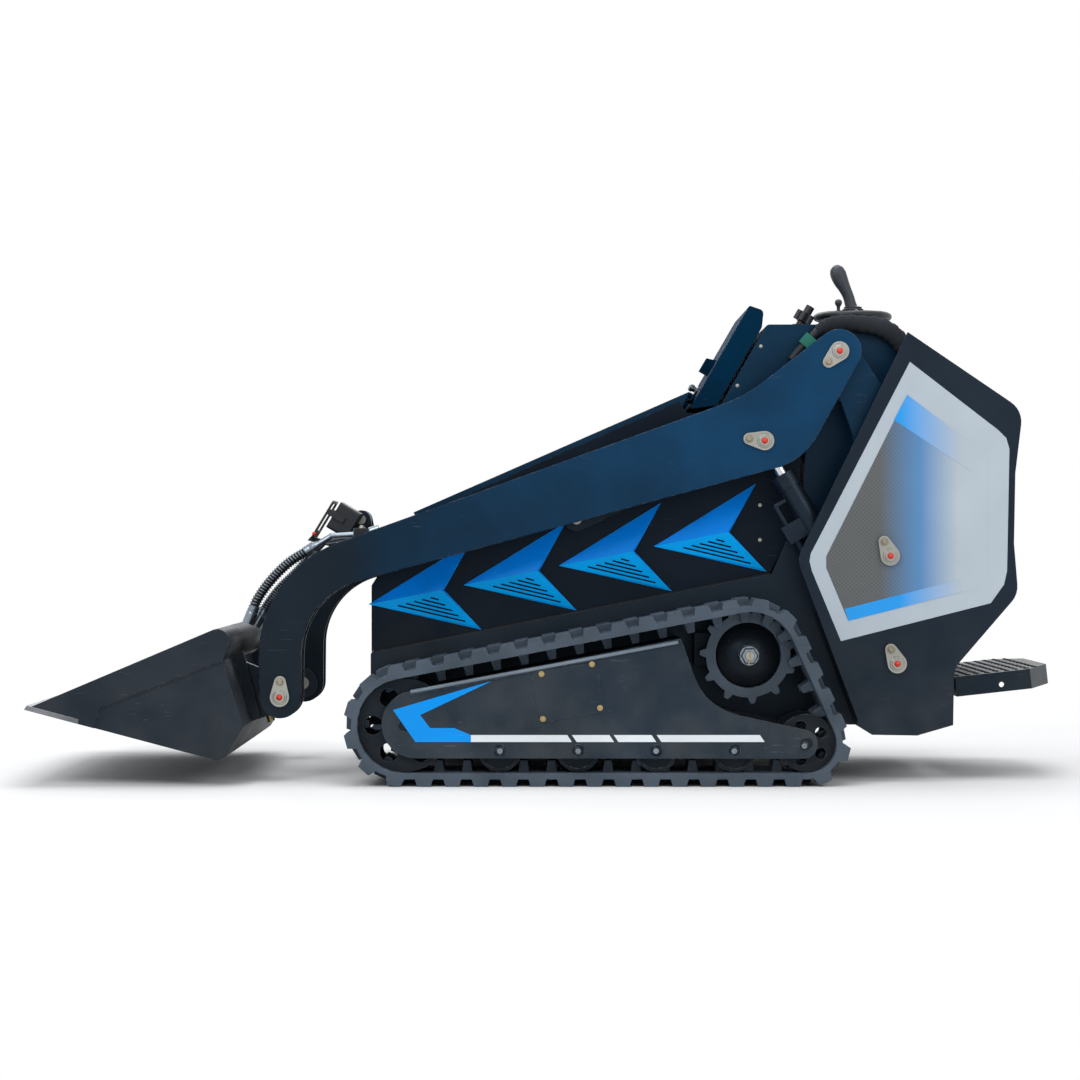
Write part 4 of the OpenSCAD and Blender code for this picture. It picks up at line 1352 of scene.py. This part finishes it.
@dataclass
class TrackFrames:
    """Stripes, a lip with painted highlight, bolts and hub nuts of the two undercarriages."""

    face_y: float = 0.514
    cover: float = 0.002
    sheet: float = 0.0006
    stripe_low: float = 0.1125
    stripe_high: float = 0.1303
    stripe_ends: list[Flat] = field(default_factory=lambda: [
        (0.203, -0.041), (-0.053, -0.148), (-0.159, -0.255), (-0.268, -0.530)
    ])
    slant: float = 0.012
    chevron: list[Flat] = field(default_factory=lambda: [
        (0.401, 0.1937), (0.150, 0.2673), (0.332, 0.1810), (0.307, 0.1480), (0.246, 0.1480), (0.203, 0.1303),
        (0.203, 0.1125), (0.344, 0.1125)
    ])
    cover_bolts: list[Flat] = field(default_factory=lambda: [
        (0.0242, 0.285), (0.0204, 0.171), (-0.1039, 0.310), (-0.1242, 0.199)
    ])
    roller_bolts: list[Flat] = field(default_factory=lambda: [
        (0.1295, 0.090), (-0.0684, 0.090), (-0.2663, 0.090), (-0.4642, 0.090), (-0.6418, 0.103)
    ])
    cover_bolt: Flat = (0.0052, 0.005)
    cover_turn: float = 0.4
    roller_washer: Flat = (0.0115, 0.002)
    roller_bolt: Flat = (0.0072, 0.010)
    lip: list[Flat] = field(default_factory=lambda: [(0.356, 0.2400), (-0.322, 0.3659)])
    lip_r: float = 0.0050
    hub: Flat = (-0.507, 0.329)
    nut: Flat = (0.0230, 0.0165)
    nut_y: float = 0.4652
    stud: list[Flat] = field(default_factory=lambda: [
        (0.0, 0.0), (0.0123, 0.0), (0.0123, 0.0068), (0.0112, 0.0080), (0.0, 0.0080)
    ])
    stud_y: float = 0.4905
    cotter: list[Flat] = field(default_factory=lambda: [
        (0.001, 0.013), (0.0, 0.006), (0.001, -0.006), (0.003, -0.016), (0.003, -0.024)
    ])
    cotter_r: float = 0.0018

    def build(self) -> None:
        """Lays the stripes, sets the bolts and pins the hub nuts on both sides."""
        for side, word in SIDES.items():
            low, high = side * (self.face_y + SHEET_LIFT), side * (self.face_y + self.sheet)
            bm = bmesh.new()
            for i, (front, rear) in enumerate(self.stripe_ends):
                lead = 0.0 if i == 0 else self.slant
                add_plate(bm, [
                    (front, self.stripe_high), (rear, self.stripe_high), (rear - self.slant, self.stripe_low),
                    (front - lead, self.stripe_low)
                ], low, high)
            shape_piece(f"frame_stripe_{word}", bm, STRIPE_WHITE, "chassis")
            bm = bmesh.new()
            add_plate(bm, self.chevron, low, high)
            shape_piece(f"frame_chevron_{word}", bm, STRIPE_BLUE, "chassis")
            # A tube for the frame's folded top flange, lighter than the frame's paint as a painted highlight
            bm = bmesh.new()
            line = [Vector((x, side * (self.face_y + self.cover), z)) for x, z in self.lip]
            add_sweep(bm, line, self.lip_r)
            shape_piece(f"frame_lip_{word}", bm, LIP_HIGHLIGHT, "chassis")
        spots = both_sides(self.cover_bolts, self.face_y + self.cover, self.cover_turn)
        set_fittings("cover_bolts", Fitting.HEX_BOLT, spots, self.cover_bolt, YELLOW_ZINC, "chassis")
        spots = both_sides(self.roller_bolts, self.face_y)
        set_fittings("roller_washers", Fitting.PIN_RING, spots, self.roller_washer, IDLER_PAINT, "chassis")
        set_fittings("roller_bolts", Fitting.SOCKET_BOLT, spots, self.roller_bolt, TUBE, "chassis")
        spots = both_sides([self.hub], self.nut_y)
        set_fittings("hub_nuts", Fitting.HEX_NUT, spots, self.nut, TUBE, "chassis")
        studs, cotters = bmesh.new(), bmesh.new()
        x, z = self.hub
        for side in SIDES:
            add_lathe(studs, self.stud, (x, side * (self.nut_y + self.nut[1]), z), (0.0, side, 0.0), sides=32)
            legs = [(x + along, side * self.stud_y, z + up) for along, up in self.cotter]
            add_sweep(cotters, smooth_path(legs, steps=4), self.cotter_r, sides=10)
        shape_piece("hub_studs", studs, ZINC, "chassis")
        shape_piece("hub_cotters", cotters, YELLOW_ZINC, "chassis")


@dataclass
class PinEnds:
    """Rings, grease caps and flag bolts on the ends of the hinge pins."""

    arm_y: float = 0.390
    frame_y: float = 0.412
    reach: float = 0.040
    ring: Flat = (0.0195, 0.005)
    cap: Flat = (0.0085, 0.009)
    cap_lift: float = 0.004
    bolt: Flat = (0.0080, 0.008)
    arm_pins: list[tuple[float, float, float]] = field(default_factory=lambda: [
        (-0.747, 1.114, 315.0), (-0.553, 0.882, 7.0), (0.702, 0.218, 92.0)
    ])
    frame_pins: list[tuple[float, float, float]] = field(default_factory=lambda: [
        (-0.875, 0.584, 67.0), (-0.893, 0.306, 66.0)
    ])

    def build(self) -> None:
        """Dresses the pins of the arms and of the hull."""
        rows = [
            ("arm", self.arm_pins, self.arm_y, "lift_arm"), ("hull", self.frame_pins, self.frame_y, "chassis")
        ]
        for word, pins, y, body in rows:
            places = [(x, z) for x, z, _ in pins]
            ends, caps = both_sides(places, y), both_sides(places, y + self.cap_lift)
            bolts = []
            for s in SIDES:
                for x, z, a in pins:
                    way = math.radians(a)
                    at = (x + self.reach * math.cos(way), s * y, z + self.reach * math.sin(way))
                    bolts.append(Spot(at, (0.0, s, 0.0), way))
            set_fittings(f"{word}_pin_rings", Fitting.PIN_RING, ends, self.ring, ZINC, body)
            set_fittings(f"{word}_grease_caps", Fitting.GREASE_CAP, caps, self.cap, RED, body)
            set_fittings(f"{word}_flag_bolts", Fitting.HEX_BOLT, bolts, self.bolt, BOLT, body)


@dataclass
class Arms:
    """The loader arms: two plates each, with a channel skin set between them."""

    discs: list[Point] = field(default_factory=lambda: [
        (0.702, 0.218, 0.055), (0.445, 0.325, 0.312), (-0.308, 1.353, -0.400), (-0.747, 1.114, 0.058),
        (-0.541, 0.976, 0.170), (0.448, 0.327, -0.198)
    ])
    inner_y: float = 0.292
    outer_y: float = 0.382
    plate: float = 0.010
    lip: float = 0.005
    skin_rear: float = -0.380
    rim: float = 0.0015
    sharp: float = 60.0

    def build(self) -> None:
        """Cuts the plates and skins of both arms and breaks their edges."""
        outline = disc_outline(self.discs)
        skin = cut_behind(disc_outline([(x, z, r - self.lip) for x, z, r in self.discs]), self.skin_rear)
        for side, word in SIDES.items():
            bm = bmesh.new()
            for y in (self.inner_y, self.outer_y - self.plate):
                add_plate(bm, outline, side * y, side * (y + self.plate))
            bm.normal_update()
            sharp = [e for e in bm.edges if e.calc_face_angle(0.0) > math.radians(self.sharp)]
            bmesh.ops.bevel(bm, geom=sharp, offset=self.rim, segments=2, affect="EDGES")
            add_plate(bm, skin, side * (self.inner_y + self.plate), side * (self.outer_y - self.plate))
            arm = shape_piece(f"arm_plates_{word}", bm, ARM_PAINT_AND_SHADE, "lift_arm")
            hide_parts(f"arm_{word}")


@dataclass
class ArmFront:
    """Hoses with spring guards, their ferrules and the clamp of the steel lines."""

    hose_ys: tuple[float, float] = (0.215, 0.245)
    routes: list[list[Flat]] = field(default_factory=lambda: [
        [(0.640, 0.577), (0.677, 0.537), (0.717, 0.498), (0.748, 0.458), (0.770, 0.422)],
        [(0.630, 0.604), (0.690, 0.567), (0.739, 0.519), (0.774, 0.470), (0.790, 0.431)],
    ])
    hose_radius: float = 0.0118
    wire: float = 0.0017
    guard_radius: float = 0.0135
    turns: float = 30.0
    ferrule: list[Flat] = field(default_factory=lambda: [
        (0.0, -0.018), (0.0105, -0.018), (0.0105, -0.010), (0.0150, -0.008), (0.0150, 0.002), (0.0138, 0.004),
        (0.0150, 0.008), (0.0138, 0.012), (0.0150, 0.016), (0.0140, 0.020), (0.0, 0.020)
    ])
    clamp_low: Point = (0.4790, 0.1990, 0.5905)
    clamp_high: Point = (0.5210, 0.2610, 0.6570)
    clamp_edge: float = 0.002
    clamp_bolt: Flat = (0.006, 0.006)

    def build(self) -> None:
        """Lays both hoses, winds their guards and sets ferrules and clamp."""
        hoses, ends = bmesh.new(), bmesh.new()
        for i, (y, route) in enumerate(zip(self.hose_ys, self.routes)):
            line = smooth_path([(x, y, z) for x, z in route], steps=10)
            add_sweep(hoses, line, self.hose_radius)
            add_lathe(ends, self.ferrule, tuple(line[0]), tuple(line[1] - line[0]), sides=24)
            add_lathe(ends, self.ferrule, tuple(line[-1]), tuple(line[-2] - line[-1]), sides=24)
            base = bpy.data.meshes.new("guard_path")
            base.from_pydata(line, [(k, k + 1) for k in range(len(line) - 1)], [])
            sizes = {"Radius": self.guard_radius, "Wire": self.wire, "Turns": self.turns}
            NodeShapes.bake(f"spring_guard_{i}", base, NodeShapes.winding(), sizes, SPRING, "lift_arm")
        tubes = shape_piece("guard_hose_tubes", hoses, HOSE, "lift_arm")
        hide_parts("guarded_hoses")
        shape_piece("hose_ferrules", ends, TUBE, "lift_arm")
        bm = bmesh.new()
        low, high = Vector(self.clamp_low), Vector(self.clamp_high)
        add_box(bm, low, high, self.clamp_edge, segments=2)
        shape_piece("line_clamp", bm, PLASTIC, "lift_arm")
        top = [Spot(((low.x + high.x) / 2, y, high.z), UP) for y in self.hose_ys]
        set_fittings("clamp_bolts", Fitting.HEX_BOLT, top, self.clamp_bolt, ZINC, "lift_arm")


@dataclass
class Lamp:
    """The work lamp's glass, its row of light cups and the red tag on its frame."""

    middle: Point = (0.556, 0.115, 0.679)
    tilt: float = 59.0
    half: Flat = (0.0315, 0.0505)
    glass: Flat = (0.0252, 0.0272)
    cup_floor: float = 0.022
    cup: Flat = (0.012, 0.003)
    cup_rows: tuple[float, ...] = (-0.016, 0.016)
    cup_columns: tuple[float, ...] = (-0.034, 0.0, 0.034)
    tag_at: Point = (0.070, 0.066, 0.045)
    tag: Flat = (0.0055, 0.006)

    def place(self, down: float, across: float, out: float) -> Point:
        """Gives the point at a place on the lamp's face.

        Args:
            down: How far down the face.
            across: How far to the machine's left.
            out: How far off the face.

        Returns:
            The point.
        """
        lean = math.radians(self.tilt)
        x = self.middle[0] + down * math.cos(lean) + out * math.sin(lean)
        return (x, self.middle[1] + across, self.middle[2] - down * math.sin(lean) + out * math.cos(lean))

    def build(self) -> None:
        """Sets the cups, the glass over them and the tag."""
        lean = math.radians(self.tilt)
        facing = (math.sin(lean), 0.0, math.cos(lean))
        cups = [Spot(self.place(row, column, self.cup_floor), facing)
                for row in self.cup_rows for column in self.cup_columns]
        set_fittings("lamp_cups", Fitting.PIN_RING, cups, self.cup, CHROME, "lift_arm")
        bm = bmesh.new()
        corners = [(-1, -1), (1, -1), (1, 1), (-1, 1)]
        rings = [[bm.verts.new(self.place(a * self.half[0], b * self.half[1], out)) for a, b in corners]
                 for out in self.glass]
        bm.faces.new(rings[0])
        bm.faces.new(rings[1])
        for i in range(4):
            bm.faces.new([rings[0][i], rings[0][(i + 1) % 4], rings[1][(i + 1) % 4], rings[1][i]])
        shape_piece("lamp_glass", bm, LENS, "lift_arm")
        tag = [Spot(self.place(*self.tag_at), (0.0, 1.0, 0.0))]
        set_fittings("lamp_tag", Fitting.GREASE_CAP, tag, self.tag, RED, "lift_arm")


@dataclass
class Guard:
    """The leaning guard with its rounded head, its latch, the hood's lugs and two hose fittings."""

    outline: list[Flat] = field(default_factory=lambda: [
        (-0.526, 1.245), (-0.5635, 1.2320), (-0.559, 1.187), (-0.440, 0.981), (-0.368, 0.972)
    ])
    rounds: list[float] = field(default_factory=lambda: [0.004, 0.013, 0.030, 0.004, 0.003])
    half_width: float = 0.243
    latch: list[Flat] = field(default_factory=lambda: [
        (-0.4477, 1.1077), (-0.4247, 1.0679), (-0.4013, 1.0815), (-0.4203, 1.1143)
    ])
    latch_ys: Flat = (0.075, 0.125)
    lug: list[Point] = field(default_factory=lambda: [
        (-0.370, 1.007, 0.011), (-0.394, 1.012, 0.0002), (-0.380, 0.988, 0.0002)
    ])
    lug_ys: Flat = (0.120, 0.160)
    pin_ys: Flat = (0.150, 0.196)
    pin: float = 0.005
    fitting_at: Flat = (-0.4020, 1.0300)
    fitting_ys: tuple[float, ...] = (0.020, 0.052)
    fitting_way: Point = (0.8655, 0.0, 0.5009)
    fitting: list[Flat] = field(default_factory=lambda: [
        (0.0, -0.004), (0.0105, -0.004), (0.0105, 0.006), (0.0070, 0.008), (0.0070, 0.014), (0.0092, 0.016),
        (0.0092, 0.024), (0.0060, 0.027), (0.0, 0.027)
    ])

    def build(self) -> None:
        """Folds the guard, rounds its edges and sets what stands on its front."""
        bm = bmesh.new()
        outline = disc_outline(corner_discs(self.outline, self.rounds), step=6.0)
        add_plate(bm, outline, -self.half_width, self.half_width)
        add_plate(bm, self.latch, *self.latch_ys)
        for side in SIDES:
            add_plate(bm, disc_outline(self.lug, step=10.0), *(side * y for y in self.lug_ys))
            x, z, _ = self.lug[0]
            start, end = self.pin_ys
            rod = [(0.0, 0.0), (self.pin, 0.0), (self.pin, end - start), (0.0, end - start)]
            add_lathe(bm, rod, (x, side * start, z), (0.0, side, 0.0), sides=24)
        shell = shape_piece("guard_shell", bm, GUARD_PAINT, "chassis")
        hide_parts("guard")
        bm = bmesh.new()
        x, z = self.fitting_at
        for y in self.fitting_ys:
            add_lathe(bm, self.fitting, (x, y, z), self.fitting_way, sides=24)
        shape_piece("guard_fittings", bm, TUBE, "chassis")


@dataclass
class Controls:
    """The operator's grip, the small lever and the screws of the disc."""

    grip: list[tuple[float, float, float, float]] = field(default_factory=lambda: [
        (-0.829, 1.250, 0.0185, 0.0185), (-0.823, 1.270, 0.0158, 0.0158), (-0.817, 1.292, 0.0152, 0.0150),
        (-0.807, 1.314, 0.0168, 0.0160), (-0.796, 1.336, 0.0208, 0.0185), (-0.788, 1.357, 0.0216, 0.0195),
        (-0.7862, 1.371, 0.0160, 0.0145), (-0.7858, 1.3785, 0.0050, 0.0050)
    ])
    boot_at: Point = (-0.829, 0.0, 1.246)
    boot: list[Flat] = field(default_factory=lambda: [
        (0.0, 0.0), (0.033, 0.0), (0.035, 0.003), (0.033, 0.006), (0.028, 0.0075), (0.030, 0.0100),
        (0.026, 0.0120), (0.024, 0.0140), (0.0255, 0.0160), (0.0205, 0.0185), (0.0, 0.0185)
    ])
    lever_at: Point = (-0.785, 0.040, 1.246)
    lever: list[Flat] = field(default_factory=lambda: [
        (0.0, 0.0), (0.009, 0.0), (0.009, 0.003), (0.0048, 0.005), (0.0048, 0.015), (0.0075, 0.018),
        (0.0100, 0.024), (0.0098, 0.029), (0.0065, 0.0335), (0.0, 0.035)
    ])
    disc_radius: float = 0.080
    screws: int = 6
    screw: Flat = (0.004, 0.003)

    def build(self) -> None:
        """Sweeps the grip, turns the boot and the lever and sets the screws."""
        bm = bmesh.new()
        line = smooth_path([(x, 0.0, z) for x, z, _, _ in self.grip], steps=6)
        radii = [(v.x, v.y) for v in smooth_path([(a, b, 0.0) for _, _, a, b in self.grip], steps=6)]
        add_sweep(bm, line, radii, sides=32)
        add_lathe(bm, self.boot, self.boot_at, UP)
        add_lathe(bm, self.lever, self.lever_at, UP, sides=24)
        stick = shape_piece("control_grip", bm, GRIP, "chassis", smooth=50.0)
        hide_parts("joystick")
        spots = []
        for i in range(self.screws):
            a = WHOLE_TURN * (i + 0.5) / self.screws
            x = self.boot_at[0] + self.disc_radius * math.cos(a)
            spots.append(Spot((x, self.disc_radius * math.sin(a), self.boot_at[2]), UP))
        set_fittings("disc_screws", Fitting.SOCKET_BOLT, spots, self.screw, ZINC, "chassis")


@dataclass
class SideHose:
    """The hose on the console's side and its woven sleeve.

    The sleeve's creases are a sum of waves, each with its share, its turn for each step and its start.
    """

    y: float = 0.2638
    hose: list[Flat] = field(default_factory=lambda: [(-0.635, 1.100), (-0.668, 1.138), (-0.712, 1.182)])
    hose_radius: float = 0.0118
    sleeve: list[tuple[float, float, float]] = field(default_factory=lambda: [
        (-0.703, 1.177, 0.0150), (-0.728, 1.190, 0.0180), (-0.760, 1.197, 0.0205), (-0.815, 1.195, 0.0225),
        (-0.870, 1.186, 0.0245), (-0.910, 1.160, 0.0245), (-0.936, 1.120, 0.0230), (-0.948, 1.070, 0.0220),
        (-0.952, 1.020, 0.0215), (-0.953, 0.970, 0.0210)
    ])
    widest: float = 0.0210
    folds: float = 0.0011
    waves: tuple[Point, ...] = ((1.0, 0.9, 0.0), (0.6, 2.3, 1.0))

    def build(self) -> None:
        """Lays the hose and pulls the creased sleeve over it."""
        bm = bmesh.new()
        line = smooth_path([(x, self.y, z) for x, z in self.hose], steps=8)
        add_sweep(bm, line, self.hose_radius)
        shape_piece("side_hose_tube", bm, HOSE, "chassis")
        line = smooth_path([(x, self.y, z) for x, z, _ in self.sleeve], steps=14)
        sizes = smooth_path([(r, 0.0, 0.0) for _, _, r in self.sleeve], steps=14)
        radii = []
        for i, size in enumerate(sizes):
            crease = self.folds * sum(share * math.sin(turn * i + start) for share, turn, start in self.waves)
            radii.append((size.x + crease, min(size.x, self.widest) - abs(crease)))
        bm = bmesh.new()
        add_sweep(bm, line, radii, sides=28)
        cloth = shape_piece("woven_sleeve", bm, SLEEVE, "chassis", smooth=60.0)
        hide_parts("hose_sleeve")


@dataclass
class BucketWelds:
    """Weld beads along the seams of the bucket's side plates."""

    seam: list[Flat] = field(default_factory=lambda: [(0.836, 0.3155), (1.138, 0.1985), (1.153, 0.150)])
    y: float = 0.5345
    radius: float = 0.0028
    step: float = 0.0022
    ripple: float = 0.18
    ripple_turn: float = 1.6

    def build(self) -> None:
        """Lays a rippled bead along both seams."""
        bm = bmesh.new()
        for side in SIDES:
            for a, b in zip(self.seam, self.seam[1:]):
                start, end = Vector((a[0], side * self.y, a[1])), Vector((b[0], side * self.y, b[1]))
                count = int((end - start).length / self.step)
                line = [start.lerp(end, i / count) for i in range(count + 1)]
                waves = [math.cos(self.ripple_turn * i) ** 2 for i in range(count + 1)]
                radii = [(self.radius * (1.0 - self.ripple * wave),) * 2 for wave in waves]
                add_sweep(bm, line, radii, sides=8)
        shape_piece("bucket_welds", bm, BEAD, "bucket")


@dataclass
class Platform:
    """The raised bars of the operator's platform."""

    hinge: Flat = (-1.052, 0.263)
    front: float = 0.012
    tilt: float = 6.3
    length: float = 0.276
    half_width: float = 0.275
    straight: float = 0.210
    corner: float = 0.160
    pitch: float = 0.026
    bar: Flat = (0.0105, 0.0022)
    bar_turn: float = 45.0

    def build(self) -> None:
        """Sets bars in alternate directions over the platform's top."""
        lean = math.radians(self.tilt)
        up = (math.sin(lean), 0.0, math.cos(lean))
        spots = []
        rows = int(self.length / self.pitch)
        columns = int(2 * self.half_width / self.pitch)
        for i in range(1, rows):
            back = self.front + (i - 0.5) * self.pitch
            share = max(0.0, (back - self.straight) / (self.length - self.straight))
            limit = self.half_width - share * (self.half_width - self.corner) - self.bar[0]
            for k in range(columns + 1):
                y = (k - columns / 2) * self.pitch
                if abs(y) < limit:
                    at = (self.hinge[0] - back * math.cos(lean), y, self.hinge[1] + back * math.sin(lean))
                    turn = self.bar_turn if (i + k) % 2 else -self.bar_turn
                    spots.append(Spot(at, up, math.radians(turn)))
        set_fittings("platform_tread", Fitting.TREAD_BAR, spots, self.bar, BLACK, "platform")


@dataclass
class BodyBolts:
    """Bolts of the body's panels and console, and the seals under the panels."""

    bolt: Flat = (0.0034, 0.0035)
    panel_y: float = 0.250
    console_y: float = 0.243
    panel: list[Flat] = field(default_factory=lambda: [(-0.553, 0.717), (-0.553, 0.625)])
    console: list[Flat] = field(default_factory=lambda: [(-0.556, 1.137), (-0.494, 1.033)])
    seal: list[Flat] = field(default_factory=lambda: [
        (0.4725, 0.3233), (0.4725, 0.3307), (-0.5805, 0.5396), (-0.5805, 0.5323)
    ])
    seal_ys: Flat = (0.2445, 0.2490)

    def build(self) -> None:
        """Sets the bolts and the seals under the panels on both sides."""
        spots = both_sides(self.panel, self.panel_y) + both_sides(self.console, self.console_y)
        set_fittings("panel_bolts", Fitting.HEX_BOLT, spots, self.bolt, ZINC, "chassis")
        bm = bmesh.new()
        for side in SIDES:
            add_plate(bm, self.seal, side * self.seal_ys[0], side * self.seal_ys[1])
        shape_piece("panel_seals", bm, HOSE, "chassis")


@dataclass
class HipPad:
    """The padded rest that the operator leans on."""

    voxel: float = 0.006
    pressure: float = 4.0
    frames: int = 18
    swell: float = 0.008
    shrink: Point = (0.002, 0.010, 0.010)
    edge: float = 0.012

    def build(self) -> None:
        """Blows the pad up from a smaller block and lets it settle on the bulkhead."""
        low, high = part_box("hip_pad")
        bm = bmesh.new()
        add_box(bm, low + Vector(self.shrink), high - Vector(self.shrink), self.edge, segments=3)
        pad = shape_piece("hip_cushion", bm, VINYL, "chassis")
        self._inflate(pad)
        for polygon in pad.data.polygons:
            polygon.use_smooth = True
        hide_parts("hip_pad")

    def _inflate(self, pad: Piece) -> None:
        """Runs the cloth on a remeshed pad and keeps the swell within its limit.

        Args:
            pad: The piece to swell.
        """
        remesh = pad.modifiers.new("remesh", "REMESH")
        remesh.mode = "VOXEL"
        remesh.voxel_size = self.voxel
        self._apply(pad)
        before = [v.co.copy() for v in pad.data.vertices]
        cloth = pad.modifiers.new("cloth", "CLOTH")
        cloth.settings.use_pressure = True
        cloth.settings.uniform_pressure_force = self.pressure
        cloth.settings.effector_weights.gravity = 0.0
        scene = bpy.context.scene
        for frame in range(1, self.frames + 1):
            scene.frame_set(frame)
        self._apply(pad)
        scene.frame_set(1)
        back = max(v.x for v in before)
        for vertex, start in zip(pad.data.vertices, before):
            move = vertex.co - start
            if move.length > self.swell:
                move *= self.swell / move.length
            vertex.co = start + move
            vertex.co.x = min(vertex.co.x, back)

    @staticmethod
    def _apply(pad: Piece) -> None:
        """Replaces the pad's mesh by what its modifiers make of it.

        Args:
            pad: The piece.
        """
        mesh = evaluated_mesh(pad)
        pad.modifiers.clear()
        pad.data = mesh


def dress_nodes(nodes: dict[str, Piece]) -> None:
    """Gives every node of the frame its finish.

    Args:
        nodes: The frame's objects by name.
    """
    for name, node in nodes.items():
        node.data.materials.clear()
        node.data.materials.append(NODE_FINISHES[name].material())
        log.info("%s has %s", name, NODE_FINISHES[name].name)


def main() -> None:
    """Builds the whole scene in order."""
    logging.basicConfig(level=logging.INFO, format="%(message)s")
    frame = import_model()
    Studio().build()
    dress_nodes(frame["nodes"])
    assemblies = (
        RearPlates(), TrackFrames(), PinEnds(), Arms(), ArmFront(), Lamp(), Guard(), Controls(), SideHose(),
        BucketWelds(), Platform(), BodyBolts(), HipPad(),
    )
    for assembly in assemblies:
        assembly.build()


if __name__ == "__main__":
    main()
